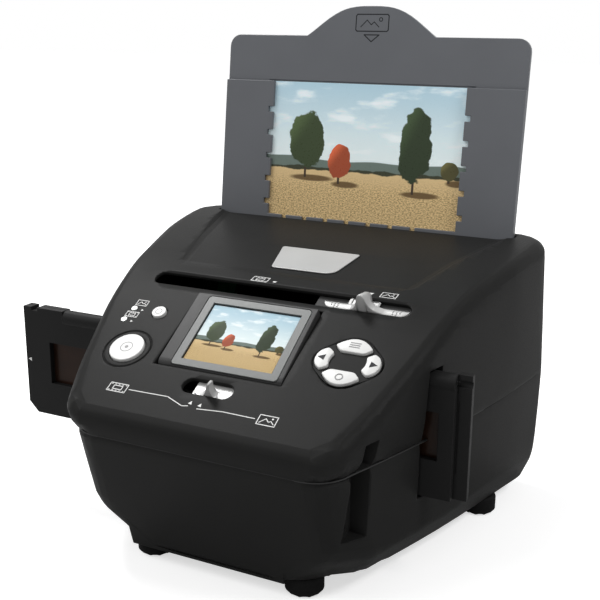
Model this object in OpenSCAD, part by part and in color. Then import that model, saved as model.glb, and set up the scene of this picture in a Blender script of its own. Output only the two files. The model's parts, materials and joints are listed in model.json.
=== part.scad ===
// Desktop scanner for photo prints and film strips.
// X runs to the right, Y to the back and Z up. The origin is on the table, on
// the plane of symmetry, straight below the front edge of the control panel.

/* [Case] */
// Height of the control panel's plane at its front edge
panel_front_z = 86; // [84:1:90]
// Slope of the control panel, in degrees
panel_slope = 28; // [26:1:30]
// Run of the control panel from front to back
panel_run = 86; // [84:1:90]
// Slope of the top just behind the control panel, in degrees
top_slope_front = 13.5; // [12:0.5:15]
// Slope of the top at the back edge, in degrees
top_slope_rear = 1.7; // [0.5:0.1:3]
// Depth of the case from front to back
case_depth = 202; // [200:1:206]
// Height of the seam between the upper and the lower case
seam_z = 72; // [70:0.5:73]
// Half width of the case at its front corners
front_half_w = 69.5; // [68:0.5:72]
// Room on each side between the photo tray and the case's back corners
side_room = 22.5; // [21:0.5:25]
// How far each side bulges beyond a straight line
side_bulge = 5; // [3:0.5:7]
// Wall thickness of both case shells
wall = 2.5; // [2:0.1:2.8]
// Radius of the rounded edge around the top
edge_r = 7; // [6:0.5:8]
// Height of the underside above the table
underside_z = 10; // [9.5:0.5:11]

/* [Screen] */
// Width of the screen housing
pod_w = 67.4; // [66:0.2:69]
// Length of the screen housing up the slope
pod_l = 48; // [47.5:0.5:49]
// Thickness of the screen housing
pod_t = 8.6; // [8:0.2:9]
// Centre of the screen housing across the panel
pod_x = -4; // [-5:0.5:-3]
// Distance of the housing's lower edge up the panel
pod_v = 34; // [33:0.5:34.5]
// How far the screen stands raised, in degrees
pod_tilt = 4; // [2:0.5:6]

/* [Controls] */
// Radius of the round scan button
scan_r = 9; // [8:0.2:9.4]
// Radius of the power button
power_r = 3.8; // [3.4:0.1:4.2]
// Half width of the cluster of four menu keys
keys_half_w = 16.4; // [16:0.1:16.6]
// Half length of the cluster of four menu keys
keys_half_l = 15; // [14.8:0.1:15.4]
// How far the buttons travel
key_travel = 0.5; // [0.3:0.1:0.5]
// Length of the light source's slot
light_slot_l = 144; // [142:1:146]
// Travel of the light source between film and photo
light_travel = 50; // [48:1:51]
// Length of the focus slot
focus_slot_l = 26.6; // [26.4:0.1:27]
// Travel of the focus lever between film and photo
focus_travel = 6; // [5.6:0.1:6.2]
// Width of both slots in the panel
slot_w = 8.8; // [8.6:0.1:9]

/* [Photo tray] */
// Width of the photo tray
tray_w = 185; // [183:1:186]
// How far the tray leans back, in degrees
tray_lean = 6.9; // [6:0.1:7.5]
// Distance of the tray's front face from the back edge of the case
tray_back = 16.6; // [16:0.1:16.8]
// Length of the tray above the top of the case
tray_rise = 107.5; // [104:0.5:110]
// Length of the tray below the top of the case
tray_drop = 22; // [20:1:24]
// Height of the front frame above the top of the case
frame_rise = 80.5; // [80:0.5:84]
// Thickness of the front frame
frame_t = 2.2; // [2:0.1:2.4]
// Thickness of the back plate
plate_t = 3; // [2.8:0.1:3.2]
// Width of the photo window
window_w = 119.4; // [118:0.2:121]
// How far the tray slides down to the scanning place
tray_travel = 105; // [100:1:108]

/* [Film holder] */
// Distance of the holder's front face from the front edge
film_y = 64; // [63.8:0.1:64.4]
// Height of the optical axis through the film
axis_z = 75.6; // [75:0.1:76]
// Height of the film holder
holder_h = 62.4; // [61.6:0.2:63]
// Thickness of each leaf of the holder
leaf_t = 3.5; // [3.2:0.1:3.6]
// Pitch of the film frames
frame_pitch = 38; // [37.6:0.1:38.2]
// Number of frames in a strip
frame_count = 6; // [5:1:6]
// Radius of the hinge barrels
barrel_r = 4.5; // [4.2:0.1:4.6]

/* [Feet] */
// Radius of each rubber foot
foot_r = 9.5; // [9:0.1:9.8]
// Front feet, distance from the plane of symmetry
front_foot_x = 42; // [41:0.5:43]
// Front feet, distance from the front edge
front_foot_y = 32; // [32:0.5:34]
// Rear feet, distance from the plane of symmetry
rear_foot_x = 92; // [90:0.5:93]
// Rear feet, distance from the front edge
rear_foot_y = 149; // [146:0.5:151]

/* [Hidden] */

big = 400;                   // longer than anything it cuts
gap = 0.3;                   // clearance around parts that move
touch = 0.1;                 // clearance between sliding faces
run_gap = 0.05;              // radial clearance of a shaft in its bore
fine = 48;                   // segments of round parts
charcoal = [0.10, 0.10, 0.11];
tray_grey = [0.26, 0.27, 0.30];
silver = [0.78, 0.78, 0.77];
white = [0.92, 0.92, 0.90];
board_green = [0.08, 0.33, 0.18];

function lerp(a, b, t) = a + (b - a) * t;

// ---- outline of the case, seen from above ----
corner_a = 15;               // the side walls start this far off the Y axis
front_r = 19;                // front corner radius at the seam
rear_r = 16;                 // back corner radius
rear_half_w = tray_w / 2 + side_room;
side_y0 = front_r * (1 - sin(corner_a));
side_y1 = case_depth - rear_r;
seam_lip = 2;                // height of the straight band at the seam

function side_t(y) = (y - side_y0) / (side_y1 - side_y0);
function side_x(y) =
    lerp(front_half_w, rear_half_w, side_t(y)) + 4 * side_bulge * side_t(y) * (1 - side_t(y));

// One closed outline: in_front and in_rear pull the sides in at the front and the
// back, y0 and y1 are its front and back, r0 and r1 its corner radii.
function half_outline(in_front, in_rear, y0, y1, r0, r1) =
    let (c0 = [front_half_w - in_front - r0 * cos(corner_a), y0 + r0],
         c1 = [rear_half_w - in_rear - r1, y1 - r1],
         ya = y0 + r0 * (1 - sin(corner_a)))
    concat(
        [for (a = [-90:15:-corner_a]) c0 + r0 * [cos(a), sin(a)]],
        [for (t = [0.16:0.16:0.97])
            let (y = lerp(ya, y1 - r1, t)) [side_x(y) - lerp(in_front, in_rear, side_t(y)), y]],
        [for (a = [0:18:90]) c1 + r1 * [cos(a), sin(a)]]);
function mirrored(points) = [for (i = [len(points) - 1:-1:0]) [-points[i][0], points[i][1]]];
function outline(in_front, in_rear, y0, y1, r0, r1) =
    let (h = half_outline(in_front, in_rear, y0, y1, r0, r1)) concat(h, mirrored(h));

module slab(z, t, in_front, in_rear, y0, y1, r0, r1) {
    translate([0, 0, z])
        linear_extrude(t) polygon(outline(in_front, in_rear, y0, y1, r0, r1));
}

// ---- side profile of the top ----
panel_end_z = panel_front_z + panel_run * tan(panel_slope);
top_l = case_depth - panel_run;
function top_z(y) =
    y <= panel_run ? panel_front_z + y * tan(panel_slope)
    : let (d = y - panel_run) panel_end_z + d * tan(top_slope_front)
        - (tan(top_slope_front) - tan(top_slope_rear)) * d * d / (2 * top_l);
function top_slope(y) =
    y <= panel_run ? panel_slope
    : atan(lerp(tan(top_slope_front), tan(top_slope_rear), (y - panel_run) / top_l));
flare_front = 5.5;           // the side walls flare out by this towards the top, at the front
flare_rear = -4.5;           // and lean in by this at the back
function top_x(y) = side_x(y) + lerp(flare_front, flare_rear, side_t(y));

// Centres of the balls that round the top edge, from front to back
top_front_r = 10;            // radius of the panel's front corners
front_ball_x = top_x(side_y0) - top_front_r - edge_r;
ridge = concat(
    [[front_ball_x, edge_r - 2], [front_ball_x + 0.75 * top_front_r, edge_r + 4]],
    [for (y = [panel_run * 0.35, panel_run * 0.68,
               panel_run + edge_r * sin((panel_slope + top_slope_front) / 2),
               lerp(panel_run, case_depth, 0.35), lerp(panel_run, case_depth, 0.7),
               case_depth - edge_r - 9])
        [top_x(y) - edge_r, y]],
    [[top_x(side_y1) - edge_r - 9, case_depth - edge_r]]);
function ridge_z(y) = top_z(y) - edge_r / cos(top_slope(y));

module top_balls(r) {
    for (p = ridge)
        for (s = [-1, 1])
            translate([s * p[0], p[1], ridge_z(p[1])]) sphere(r, $fn = 20);
}
module upper_outer() {
    hull() {
        slab(seam_z, seam_lip, 0, 0, 0, case_depth, front_r, rear_r);
        top_balls(edge_r);
    }
}
module upper_inner() {
    hull() {
        slab(seam_z - 1, seam_lip + 1, wall, wall, wall, case_depth - wall,
             front_r - wall, rear_r - wall);
        top_balls(edge_r - wall);
    }
}

// ---- lower case: front leaning in, edge rounded under ----
bilge_z = 34;                // the sides turn under below this height
bilge_in_front = -0.5;
bilge_in_rear = 0.5;
bilge_y0 = 11.6;
bilge_r = 14;
bulge_z = 25;                // start of the turn
bulge_in_front = 0.5;
bulge_in_rear = 1.2;
bulge_r = 18;
turn_z = 20;                 // halfway round the turn
turn_in_front = 7;
turn_in_rear = 2.5;
turn_r = 34;
floor_in_front = 13;
floor_in_rear = 6.5;
floor_y0 = 18.6;
floor_z = underside_z + wall;
bottom_corner_r = 26;
function front_y(z) = lerp(floor_y0, bilge_y0, (z - underside_z) / (bilge_z - underside_z));
module lower_outer() {
    hull() {
        slab(seam_z - seam_lip, seam_lip, 0, 0, 0, case_depth, front_r, rear_r);
        slab(bilge_z, 0.1, bilge_in_front, bilge_in_rear, bilge_y0, case_depth - 2,
             bilge_r, rear_r);
        slab(bulge_z, 0.1, bulge_in_front, bulge_in_rear, front_y(bulge_z), case_depth - 3,
             bulge_r, rear_r);
        slab(turn_z, 0.1, turn_in_front, turn_in_rear, front_y(turn_z), case_depth - 4,
             turn_r, rear_r);
        slab(underside_z, 0.1, floor_in_front, floor_in_rear, floor_y0, case_depth - 8,
             bottom_corner_r, rear_r);
    }
}
module lower_inner() {
    hull() {
        slab(seam_z - seam_lip, seam_lip + 1, wall, wall, wall, case_depth - wall,
             front_r - wall, rear_r - wall);
        slab(bilge_z, 0.1, bilge_in_front + wall, bilge_in_rear + wall, bilge_y0 + wall,
             case_depth - 2 - wall, bilge_r - wall, rear_r - wall);
        slab(bulge_z, 0.1, bulge_in_front + wall, bulge_in_rear + wall,
             front_y(bulge_z) + wall, case_depth - 3 - wall, bulge_r - wall, rear_r - wall);
        slab(turn_z, 0.1, turn_in_front + wall, turn_in_rear + wall, front_y(turn_z) + wall,
             case_depth - 4 - wall, turn_r - wall, rear_r - wall);
        slab(floor_z, 0.1, floor_in_front + wall, floor_in_rear + wall, floor_y0 + wall,
             case_depth - 8 - wall, bottom_corner_r - wall, rear_r - wall);
    }
}

// ---- frames of reference ----
// x across, v up the slope, h out of the control panel
module on_panel(x = 0, v = 0, h = 0) {
    translate([0, 0, panel_front_z]) rotate([panel_slope, 0, 0]) translate([x, v, h]) children();
}
// x across, y through the tray to the back, s up along the tray
tray_y = case_depth - tray_back;
tray_z = top_z(tray_y) - 0.9;
module on_tray() {
    translate([0, tray_y, tray_z]) rotate([-tray_lean, 0, 0]) children();
}
module block(x0, x1, y0, y1, z0, z1) {
    translate([x0, y0, z0]) cube([x1 - x0, y1 - y0, z1 - z0]);
}
module slot2d(l, w) {
    for (s = [-1, 1]) translate([s * (l - w) / 2, 0]) circle(d = w, $fn = fine);
    square([l - w, w], center = true);
}
module rounded2d(w, l, r) {
    square([w - 2 * r, l], center = true);
    square([w, l - 2 * r], center = true);
    for (sx = [-1, 1])
        for (sy = [-1, 1])
            translate([sx * (w / 2 - r), sy * (l / 2 - r)]) circle(r, $fn = fine);
}
// A cylinder along X, from x0 to x1
module bar_x(x0, x1, y, z, r) {
    translate([x0, y, z]) rotate([0, 90, 0]) cylinder(r = r, h = x1 - x0, $fn = fine);
}
// A cylinder along Y, from y0 to y1
module bar_y(x, z, y0, y1, r) {
    translate([x, y0, z]) rotate([-90, 0, 0]) cylinder(r = r, h = y1 - y0, $fn = fine);
}

// ---- screen housing and the pocket it lies in ----
pocket_gap = 0.8;
pocket_depth = pod_t + 1.4;
pocket_wall = 2;
pod_hinge_v = pod_v + pod_t / 2;
pod_hinge_h = -pod_t / 2;
pin_r = 1.5;
pin_l = 3.4;
pocket_v0 = pod_v - pocket_gap;
pocket_v1 = pod_v + pod_l + 1.2;
module pocket_cut() {
    on_panel(pod_x) block(-pod_w / 2 - pocket_gap, pod_w / 2 + pocket_gap, pocket_v0,
                          pocket_v1, -pocket_depth, edge_r);
}
module pocket_walls() {
    on_panel(pod_x)
        block(-pod_w / 2 - pocket_gap - pocket_wall, pod_w / 2 + pocket_gap + pocket_wall,
              pocket_v0 - pocket_wall, pocket_v1 + pocket_wall,
              -pocket_depth - pocket_wall, 0);
}
module screen_frame() {
    on_panel(pod_x, pod_hinge_v, pod_hinge_h) rotate([pod_tilt, 0, 0]) children();
}

// ---- button places on the panel: x, v ----
scan_at = [-57.6, 39.3];
power_at = [-54, 66];
lamps_at = [[-69.7, 66.5], [-71, 58]];
lamp_r = 1.6;
keys_at = [55.4, 53.5];
key_top = 1.2;               // caps stand this proud of the panel
flange_h = -wall - touch;    // flanges rest under the panel
flange_t = 1.2;
flange_w = 1.6;
stem_h = flange_h - flange_t - 0.5;  // lower end of the buttons' stems
switch_t = 3.5;
board_h = stem_h - key_travel - touch - switch_t;  // top of the button boards
board_t = 1.6;
key_gap = 0.35;

// The four menu keys share one outline: a lozenge whose corners are arcs
key_split = 37;              // direction of the gaps between keys, off the X axis
key_split_w = 1.9;
key_inner = 5.5;             // straight inner edges of the upper and the lower key
key_bite_r = 6.7;            // round inner edges of the left and the right key
key_bite_x = 9.2;
side_arc_r = 7.8;
end_arc_r = 10.7;
well_margin = 1;             // the well is this much wider than the keys
well_depth = 0.7;
key_flange = 0.7;
module lozenge2d(grow) {
    cx = keys_half_w - side_arc_r;
    cy = keys_half_l - end_arc_r;
    // direction of the straight edges' normals
    a = atan(cx / cy) - asin((end_arc_r - side_arc_r) / norm([cx, cy]));
    n = [cos(90 - a), sin(90 - a)];
    side = [cx, 0] + (side_arc_r + grow) * n;
    end = [0, cy] + (end_arc_r + grow) * n;
    for (s = [-1, 1]) {
        translate([s * cx, 0]) circle(side_arc_r + grow, $fn = fine);
        translate([0, s * cy]) circle(end_arc_r + grow, $fn = fine);
    }
    polygon([side, end, [-end[0], end[1]], [-side[0], side[1]], [-side[0], -side[1]],
             [-end[0], -end[1]], [end[0], -end[1]], [side[0], -side[1]]]);
}
module quarter2d(a0, a1) {
    polygon([[0, 0], for (a = [a0, (a0 + a1) / 2, a1]) 3 * keys_half_w * [cos(a), sin(a)]]);
}
// Keys 0 and 1 are the upper and the lower one, 2 and 3 the left and the right one
module key2d(i, grow = 0) {
    s = i % 2 == 0 ? 1 : -1;
    difference() {
        intersection() {
            lozenge2d(grow);
            quarter2d(key_sectors[i][0], key_sectors[i][1]);
        }
        if (i < 2)
            translate([-big / 2, (s > 0 ? -big : 0) + s * (key_inner - grow)]) square(big);
        else
            translate([-s * (key_bite_x - key_bite_r), 0]) circle(key_bite_r - grow, $fn = 40);
        for (a = key_sectors[i])
            rotate(a) translate([0, -key_split_w / 2 + grow])
                square([3 * keys_half_w, key_split_w - 2 * grow]);
    }
}
key_sectors = [[key_split, 180 - key_split], [180 + key_split, 360 - key_split],
               [180 - key_split, 180 + key_split], [-key_split, key_split]];
// Middle of each key, where its stem stands
key_stems = [[0, 10.4], [0, -10.4], [-12.6, 0], [12.6, 0]];
scan_groove_r = 12.3;        // shallow ring in the panel around the scan button
groove_w = 0.7;
groove_depth = 0.35;

module round_button(at, r) {
    on_panel(at[0], at[1]) {
        translate([0, 0, flange_h]) cylinder(r = r, h = key_top - flange_h, $fn = fine);
        translate([0, 0, flange_h - flange_t])
            cylinder(r = r + flange_w, h = flange_t, $fn = fine);
        translate([0, 0, stem_h]) cylinder(r = 1.5, h = 1, $fn = fine);
    }
}
module menu_key(i) {
    on_panel(keys_at[0], keys_at[1]) {
        translate([0, 0, flange_h - flange_t]) {
            linear_extrude(key_top - flange_h + flange_t) key2d(i);
            linear_extrude(flange_t) key2d(i, key_flange);
        }
        translate([key_stems[i][0], key_stems[i][1], stem_h])
            cylinder(r = 1.5, h = 1, $fn = fine);
    }
}

// ---- slots in the panel ----
light_slot_v = 91.9;
light_slot_x = 0.8;
focus_slot_v = 24.2;
focus_slot_x = -3.5;
slot_lip = 0.5;              // bevel around each slot
light_x = light_travel;      // the light source stands here, out of the photo's way
module panel_slot(x, v, l) {
    on_panel(x, v) {
        translate([0, 0, -wall - 3]) linear_extrude(20) slot2d(l, slot_w);
        translate([0, 0, -slot_lip]) {
            for (s = [-1, 1])
                translate([s * (l - slot_w) / 2, 0])
                    cylinder(r1 = slot_w / 2, r2 = slot_w / 2 + 2 * slot_lip, h = 2 * slot_lip,
                             $fn = fine);
            rotate([90, 0, 90]) linear_extrude(l - slot_w, center = true)
                polygon([[-slot_w / 2, 0], [slot_w / 2, 0],
                         [slot_w / 2 + 2 * slot_lip, 2 * slot_lip],
                         [-slot_w / 2 - 2 * slot_lip, 2 * slot_lip]]);
        }
    }
}

// ---- film holder ----
holder_mid_x = -frame_pitch / 2;
strip_l = frame_count * frame_pitch;
holder_x0 = holder_mid_x - strip_l / 2 - 16;
front_leaf_x1 = holder_mid_x + strip_l / 2 + 6.5;
holder_x1 = front_leaf_x1 + 6.8;
holder_z0 = axis_z - holder_h / 2;
holder_z1 = axis_z + holder_h / 2;
holder_t = 2 * leaf_t + touch;
barrel_y = film_y + holder_t / 2;
barrel_z = holder_z1 - barrel_r;
film_h = 35;
film_t = 0.2;
hinge_pin_r = 1.6;
frame_xs = [for (i = [0:frame_count - 1])
    holder_mid_x + (i - (frame_count - 1) / 2) * frame_pitch];
aperture = [36, 24];
side_slot_y0 = film_y - 1.8;
side_slot_y1 = film_y + holder_t + 1.8;
module holder_slot() {
    block(-big, big, side_slot_y0, side_slot_y1, holder_z0 - 1, holder_z1 + 1);
}

// ---- photo tray ----
tray_t = frame_t + plate_t;
tray_slot_gap = 0.8;
module tray_slot() {
    on_tray() block(-tray_w / 2 - 1, tray_w / 2 + 1, -tray_slot_gap, tray_t + tray_slot_gap,
                    -30, 60);
}

// ---- sockets in the right side, near the front corner ----
card_y0 = 16;
card_y1 = 28;
card_z0 = 38;
usb_y0 = 19;
usb_y1 = 28;
usb_z1 = 86;
port_floor = 66;             // floor of both recesses, at this X
port_wall = 1.6;
port_gap = 0.2;
// Y and Z spans of the card's slit and of the USB socket
card_slit = [card_y0 + 5.4, card_y1 - 3.8, card_z0 + 3, seam_z - 4];
usb_shell = [usb_y0 + 2, usb_y1 - 2, seam_z + 4, usb_z1 - 2.5];
usb_shell_t = 0.8;

// ---- screws ----
case_screw_xy = [[-30, 46], [30, 46], [-80, 150], [80, 150]];
screw_r = 1.5;
screw_hole_r = 1.7;
screw_head_r = 2.8;
screw_seat_z = 50;
boss_r = 4.2;
foot_xy = [[-front_foot_x, front_foot_y], [front_foot_x, front_foot_y],
           [-rear_foot_x, rear_foot_y], [rear_foot_x, rear_foot_y]];
foot_screw_l = 9;
foot_seat_z = 4;

module lower_case() {
    color(charcoal) difference() {
        union() {
            difference() {
                lower_outer();
                lower_inner();
            }
            // skirt that carries the front wall down past the underside
            front_skirt();
            for (p = case_screw_xy)
                translate([p[0], p[1], floor_z - 1])
                    cylinder(r = boss_r, h = seam_z - floor_z + 1, $fn = fine);
            for (p = foot_xy)
                translate([p[0], p[1], floor_z - 1]) cylinder(r = boss_r, h = 8, $fn = fine);
            for (p = board_posts)
                translate([p[0], p[1], floor_z - 1])
                    cylinder(r = 2.6, h = main_board_z - floor_z + 1, $fn = fine);
            // blocks with slots that hold the upright boards
            for (s = [-1, 1])
                block(s * lamp_board_x - 8, s * lamp_board_x + 8, lamp_board_y - 2.5,
                      lamp_board_y + board_t + 2.5, floor_z - 1, floor_z + 9);
            intersection() {
                lower_outer();
                union() {
                    block(card_board_x - 2.5, card_board_x + board_t + 2.5,
                          card_board_y1 - 3, card_board_y1 + 2.5, underside_z, card_z0 + 22);
                    port_pocket(card_y0, card_y1, card_z0, seam_z);
                }
            }
        }
        for (s = [-1, 1])
            block(s * lamp_board_x - 6, s * lamp_board_x + 6, lamp_board_y,
                  lamp_board_y + board_t, floor_z, big);
        block(card_board_x, card_board_x + board_t, card_board_y0, card_board_y1, card_z0 + 2,
              big);
        for (p = case_screw_xy) {
            translate([p[0], p[1], 0]) cylinder(r = screw_hole_r, h = big, $fn = fine);
            translate([p[0], p[1], 0])
                cylinder(r = screw_head_r + gap, h = screw_seat_z, $fn = fine);
        }
        for (p = foot_xy)
            translate([p[0], p[1], 0]) cylinder(r = screw_r + run_gap, h = floor_z + 5, $fn = fine);
        holder_slot();
        card_recess();
    }
}
skirt_x0 = -47.7;
skirt_x1 = 37.6;
skirt_z = 7.6;
skirt_t = 2.2;
skirt_top = 27;
module front_skirt() {
    translate([skirt_x0, 0, 0]) rotate([90, 0, 90]) linear_extrude(skirt_x1 - skirt_x0)
        polygon([for (p = [[0, skirt_z], [skirt_t, skirt_z], [skirt_t, skirt_top],
                           [0, skirt_top]])
            [front_y(p[1]) + p[0] + 0.01, p[1]]]);
}
// Recesses over the sockets, each in a pocket with a hole in its floor
module port_pocket(y0, y1, z0, z1) {
    block(port_floor - port_wall, big, y0 - port_wall, y1 + port_wall, z0 - port_wall,
          z1 + port_wall);
}
module port_hole(y0, y1, z0, z1) {
    block(port_floor - port_wall - 1, port_floor + 1, y0, y1, z0, z1);
}
module card_recess() {
    block(port_floor, big, card_y0, card_y1, card_z0, seam_z - 1.2);
    port_hole(card_slit[0] - port_gap, card_slit[1] + port_gap,
              card_slit[2] - port_gap, card_slit[3] + port_gap);
}
module usb_recess() {
    block(port_floor, big, usb_y0, usb_y1, seam_z + 1.6, usb_z1);
    port_hole(usb_shell[0] - port_gap, usb_shell[1] + port_gap,
              usb_shell[2] - port_gap, usb_shell[3] + port_gap);
}

// Shallow field in the top between the panel and the tray, with soft edges
recess_depth = 1.1;
recess_r = 14;               // balls of this radius round its edges
recess_edge = sqrt(2 * recess_r * recess_depth);  // from an edge to the middle of its ball
recess_ys = [panel_run + 11, lerp(panel_run + 11, tray_y, 0.46), tray_y + recess_edge];
recess_xs = [68.5, 77.5, tray_w / 2 - 1];
module top_recess() {
    intersection() {
        for (i = [0, 1])
            hull()
                for (j = [i, i + 1])
                    for (s = [-1, 1])
                        translate([s * (recess_xs[j] - recess_edge), 0, 0])
                            recess_ball(recess_ys[j] + (j == 0 ? recess_edge : 0));
        block(-big, big, 0, tray_y + 1, 0, big);
    }
}
module recess_ball(y) {
    // its lowest side lies recess_depth under the top, square to it
    a = top_slope(y);
    translate([0, y - recess_r * sin(a), top_z(y) - recess_depth + recess_r * cos(a)])
        sphere(recess_r, $fn = 32);
}
module upper_case() {
    color(charcoal) difference() {
        union() {
            difference() {
                upper_outer();
                difference() {
                    upper_inner();
                    pocket_walls();
                }
            }
            intersection() {
                upper_outer();
                union() {
                    upper_bosses();
                    port_pocket(usb_y0, usb_y1, seam_z + port_wall, usb_z1);
                }
            }
        }
        block(-big, big, -big, big, -big, seam_z);
        pocket_cut();
        on_panel(pod_x) bar_x(-pod_w / 2 - pocket_gap - pocket_wall + 0.4,
            pod_w / 2 + pocket_gap + pocket_wall - 0.4, pod_hinge_v, pod_hinge_h, pin_r);
        for (b = [[scan_at, scan_r], [power_at, power_r]])
            on_panel(b[0][0], b[0][1], -wall - 2)
                cylinder(r = b[1] + key_gap, h = wall + 12, $fn = fine);
        on_panel(keys_at[0], keys_at[1], -well_depth) linear_extrude(12) lozenge2d(well_margin);
        for (i = [0:3])
            on_panel(keys_at[0], keys_at[1], -wall - 2) linear_extrude(20) key2d(i, key_gap);
        for (p = lamps_at)
            on_panel(p[0], p[1], -wall - 2) cylinder(r = lamp_r, h = 20, $fn = fine);
        panel_slot(light_slot_x, light_slot_v, light_slot_l);
        panel_slot(focus_slot_x, focus_slot_v, focus_slot_l);
        on_panel(scan_at[0], scan_at[1], -groove_depth) difference() {
            cylinder(r = scan_groove_r + groove_w / 2, h = 5, $fn = fine);
            cylinder(r = scan_groove_r - groove_w / 2, h = 5, $fn = fine);
        }
        for (p = case_screw_xy)
            translate([p[0], p[1], seam_z - 1])
                cylinder(r = screw_r + run_gap, h = 14, $fn = fine);
        holder_slot();
        tray_slot();
        usb_recess();
        top_recess();
        name_plate_blank(10);
    }
}
// Bosses under the top: for the case screws and the button boards
module upper_bosses() {
    difference() {
        for (p = case_screw_xy)
            translate([p[0], p[1], seam_z]) cylinder(r = boss_r, h = big, $fn = fine);
        // the front bosses end at the floor of the screen's pocket
        on_panel(pod_x) block(-big, big, -big, pocket_v1, -pocket_depth - 0.5, big);
    }
    for (p = key_board_posts)
        on_panel(p[0], p[1], board_h) cylinder(r = 2, h = -board_h - 1, $fn = fine);
}
// Two small boards hang under the panel, each on two posts
scan_board = [-66, -45, 31, 72];
keys_board = [37.5, 72, 37, 72];
key_board_posts = [[-47.5, 51.5], [-64, 58], keys_at, [69, 69.5]];
module button_boards() {
    color(board_green) for (b = [scan_board, keys_board])
        on_panel(0, 0, board_h - board_t) block(b[0], b[1], b[2], b[3], 0, board_t);
}
switch_xv = concat([scan_at, power_at], [for (s = key_stems) keys_at + s]);
module button_switches() {
    for (p = switch_xv)
        on_panel(p[0], p[1], board_h) {
            color("dimgray") translate([-2.6, -2.6, 0]) cube([5.2, 5.2, switch_t - 0.6]);
            color("black") cylinder(r = 1.5, h = switch_t, $fn = 32);
        }
}
module scan_button() { color(white) round_button(scan_at, scan_r); }
module power_button() { color(white) round_button(power_at, power_r); }
module up_key() { color(white) menu_key(0); }
module down_key() { color(white) menu_key(1); }
module left_key() { color(white) menu_key(2); }
module right_key() { color(white) menu_key(3); }
module status_lamps() {
    color("lightgray") for (p = lamps_at)
        on_panel(p[0], p[1], -5) cylinder(r = lamp_r, h = 5.2, $fn = fine);
}

// The plate behind the slot: its front and back edges, left and right ends
plate_y0 = 105.6;
plate_y1 = 133;
plate_front = [-14.7, 21.9];
plate_back = [-21.6, 24.8];
name_plate_t = 0.9;
plate_corner_r = 7;          // the front right corner is round
plate_mid = (plate_y0 + plate_y1) / 2;
plate_a = atan((top_z(plate_y1) - top_z(plate_y0)) / (plate_y1 - plate_y0));
plate_l = (plate_y1 - plate_y0) / 2 / cos(plate_a);
module name_plate_blank(t) {
    r = plate_corner_r;
    translate([0, plate_mid, top_z(plate_mid) - recess_depth - 0.4]) rotate([plate_a, 0, 0])
        linear_extrude(t)
            polygon(concat([[plate_front[0], -plate_l]],
                [for (a = [-90:15:0]) [plate_front[1] - r, r - plate_l] + r * [cos(a), sin(a)]],
                [[plate_back[1], plate_l], [plate_back[0], plate_l]]));
}
module name_plate() { color(silver) name_plate_blank(name_plate_t); }

module rubber_feet() {
    color([0.06, 0.06, 0.06]) for (p = foot_xy)
        translate([p[0], p[1], 0]) difference() {
            union() {
                cylinder(r1 = foot_r - 1.4, r2 = foot_r, h = 1.6, $fn = fine);
                translate([0, 0, 1.6])
                    cylinder(r = foot_r, h = underside_z - 1.6, $fn = fine);
            }
            cylinder(r = screw_hole_r, h = big, $fn = fine);
            translate([0, 0, -1]) cylinder(r = screw_head_r + 0.2, h = foot_seat_z + 1, $fn = fine);
        }
}
module pan_screw(l) {
    // head below the seat, shank upwards from it
    cylinder(r = screw_r, h = l, $fn = fine);
    translate([0, 0, -1.8]) difference() {
        cylinder(r = screw_head_r, h = 1.8, $fn = fine);
        for (a = [0, 90])
            rotate(a) translate([-1.6, -0.35, -1]) cube([3.2, 0.7, 1.8]);
    }
}
module foot_screws() {
    color("gray") for (p = foot_xy)
        translate([p[0], p[1], foot_seat_z]) pan_screw(foot_screw_l);
}
module case_screws() {
    color("gray") for (p = case_screw_xy)
        translate([p[0], p[1], screw_seat_z]) pan_screw(seam_z - screw_seat_z + 10);
}

// ---- screen ----
bezel = [pod_w - 10, pod_l - 2.8];
bezel_t = 1;
bezel_border = 4.2;
active = [bezel[0] - 2 * bezel_border, bezel[1] - 2 * bezel_border];
lcd_t = 3;
lcd_at = [2.3, 19.8];        // centre of the picture, from the hinge axis
pod_top = pod_t / 2;
module screen_housing() {
    color(charcoal) screen_frame() difference() {
        union() {
            bar_x(-pod_w / 2, pod_w / 2, 0, 0, pod_t / 2);
            block(-pod_w / 2, pod_w / 2, 0, pod_l - pod_t / 2, -pod_t / 2, pod_t / 2);
        }
        translate([lcd_at[0], lcd_at[1], pod_top - bezel_t]) linear_extrude(5)
            rounded2d(bezel[0] + 0.2, bezel[1] + 0.2, 2.1);
        translate([lcd_at[0], lcd_at[1], pod_top - bezel_t - lcd_t]) linear_extrude(5)
            square([active[0] + 3.2, active[1] + 3.2], center = true);
        bar_x(-big, -pod_w / 2 + pin_l, 0, 0, pin_r + run_gap);
        bar_x(pod_w / 2 - pin_l, big, 0, 0, pin_r + run_gap);
    }
}
module screen_bezel() {
    color([0.45, 0.46, 0.47]) screen_frame() translate([lcd_at[0], lcd_at[1], pod_top - bezel_t])
        linear_extrude(bezel_t) difference() {
            rounded2d(bezel[0], bezel[1], 2);
            square(active, center = true);
        }
}
module screen_panel() {
    color([0.35, 0.5, 0.6]) screen_frame()
        translate([lcd_at[0], lcd_at[1], pod_top - bezel_t - lcd_t])
            linear_extrude(lcd_t) square([active[0] + 3, active[1] + 3], center = true);
}
module screen_hinge_pins() {
    color("gray") screen_frame() for (s = [-1, 1])
        bar_x(s > 0 ? pod_w / 2 - pin_l : -pod_w / 2 - pocket_gap - pocket_wall + 0.7,
              s > 0 ? pod_w / 2 + pocket_gap + pocket_wall - 0.7 : -pod_w / 2 + pin_l,
              0, 0, pin_r);
}

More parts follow.
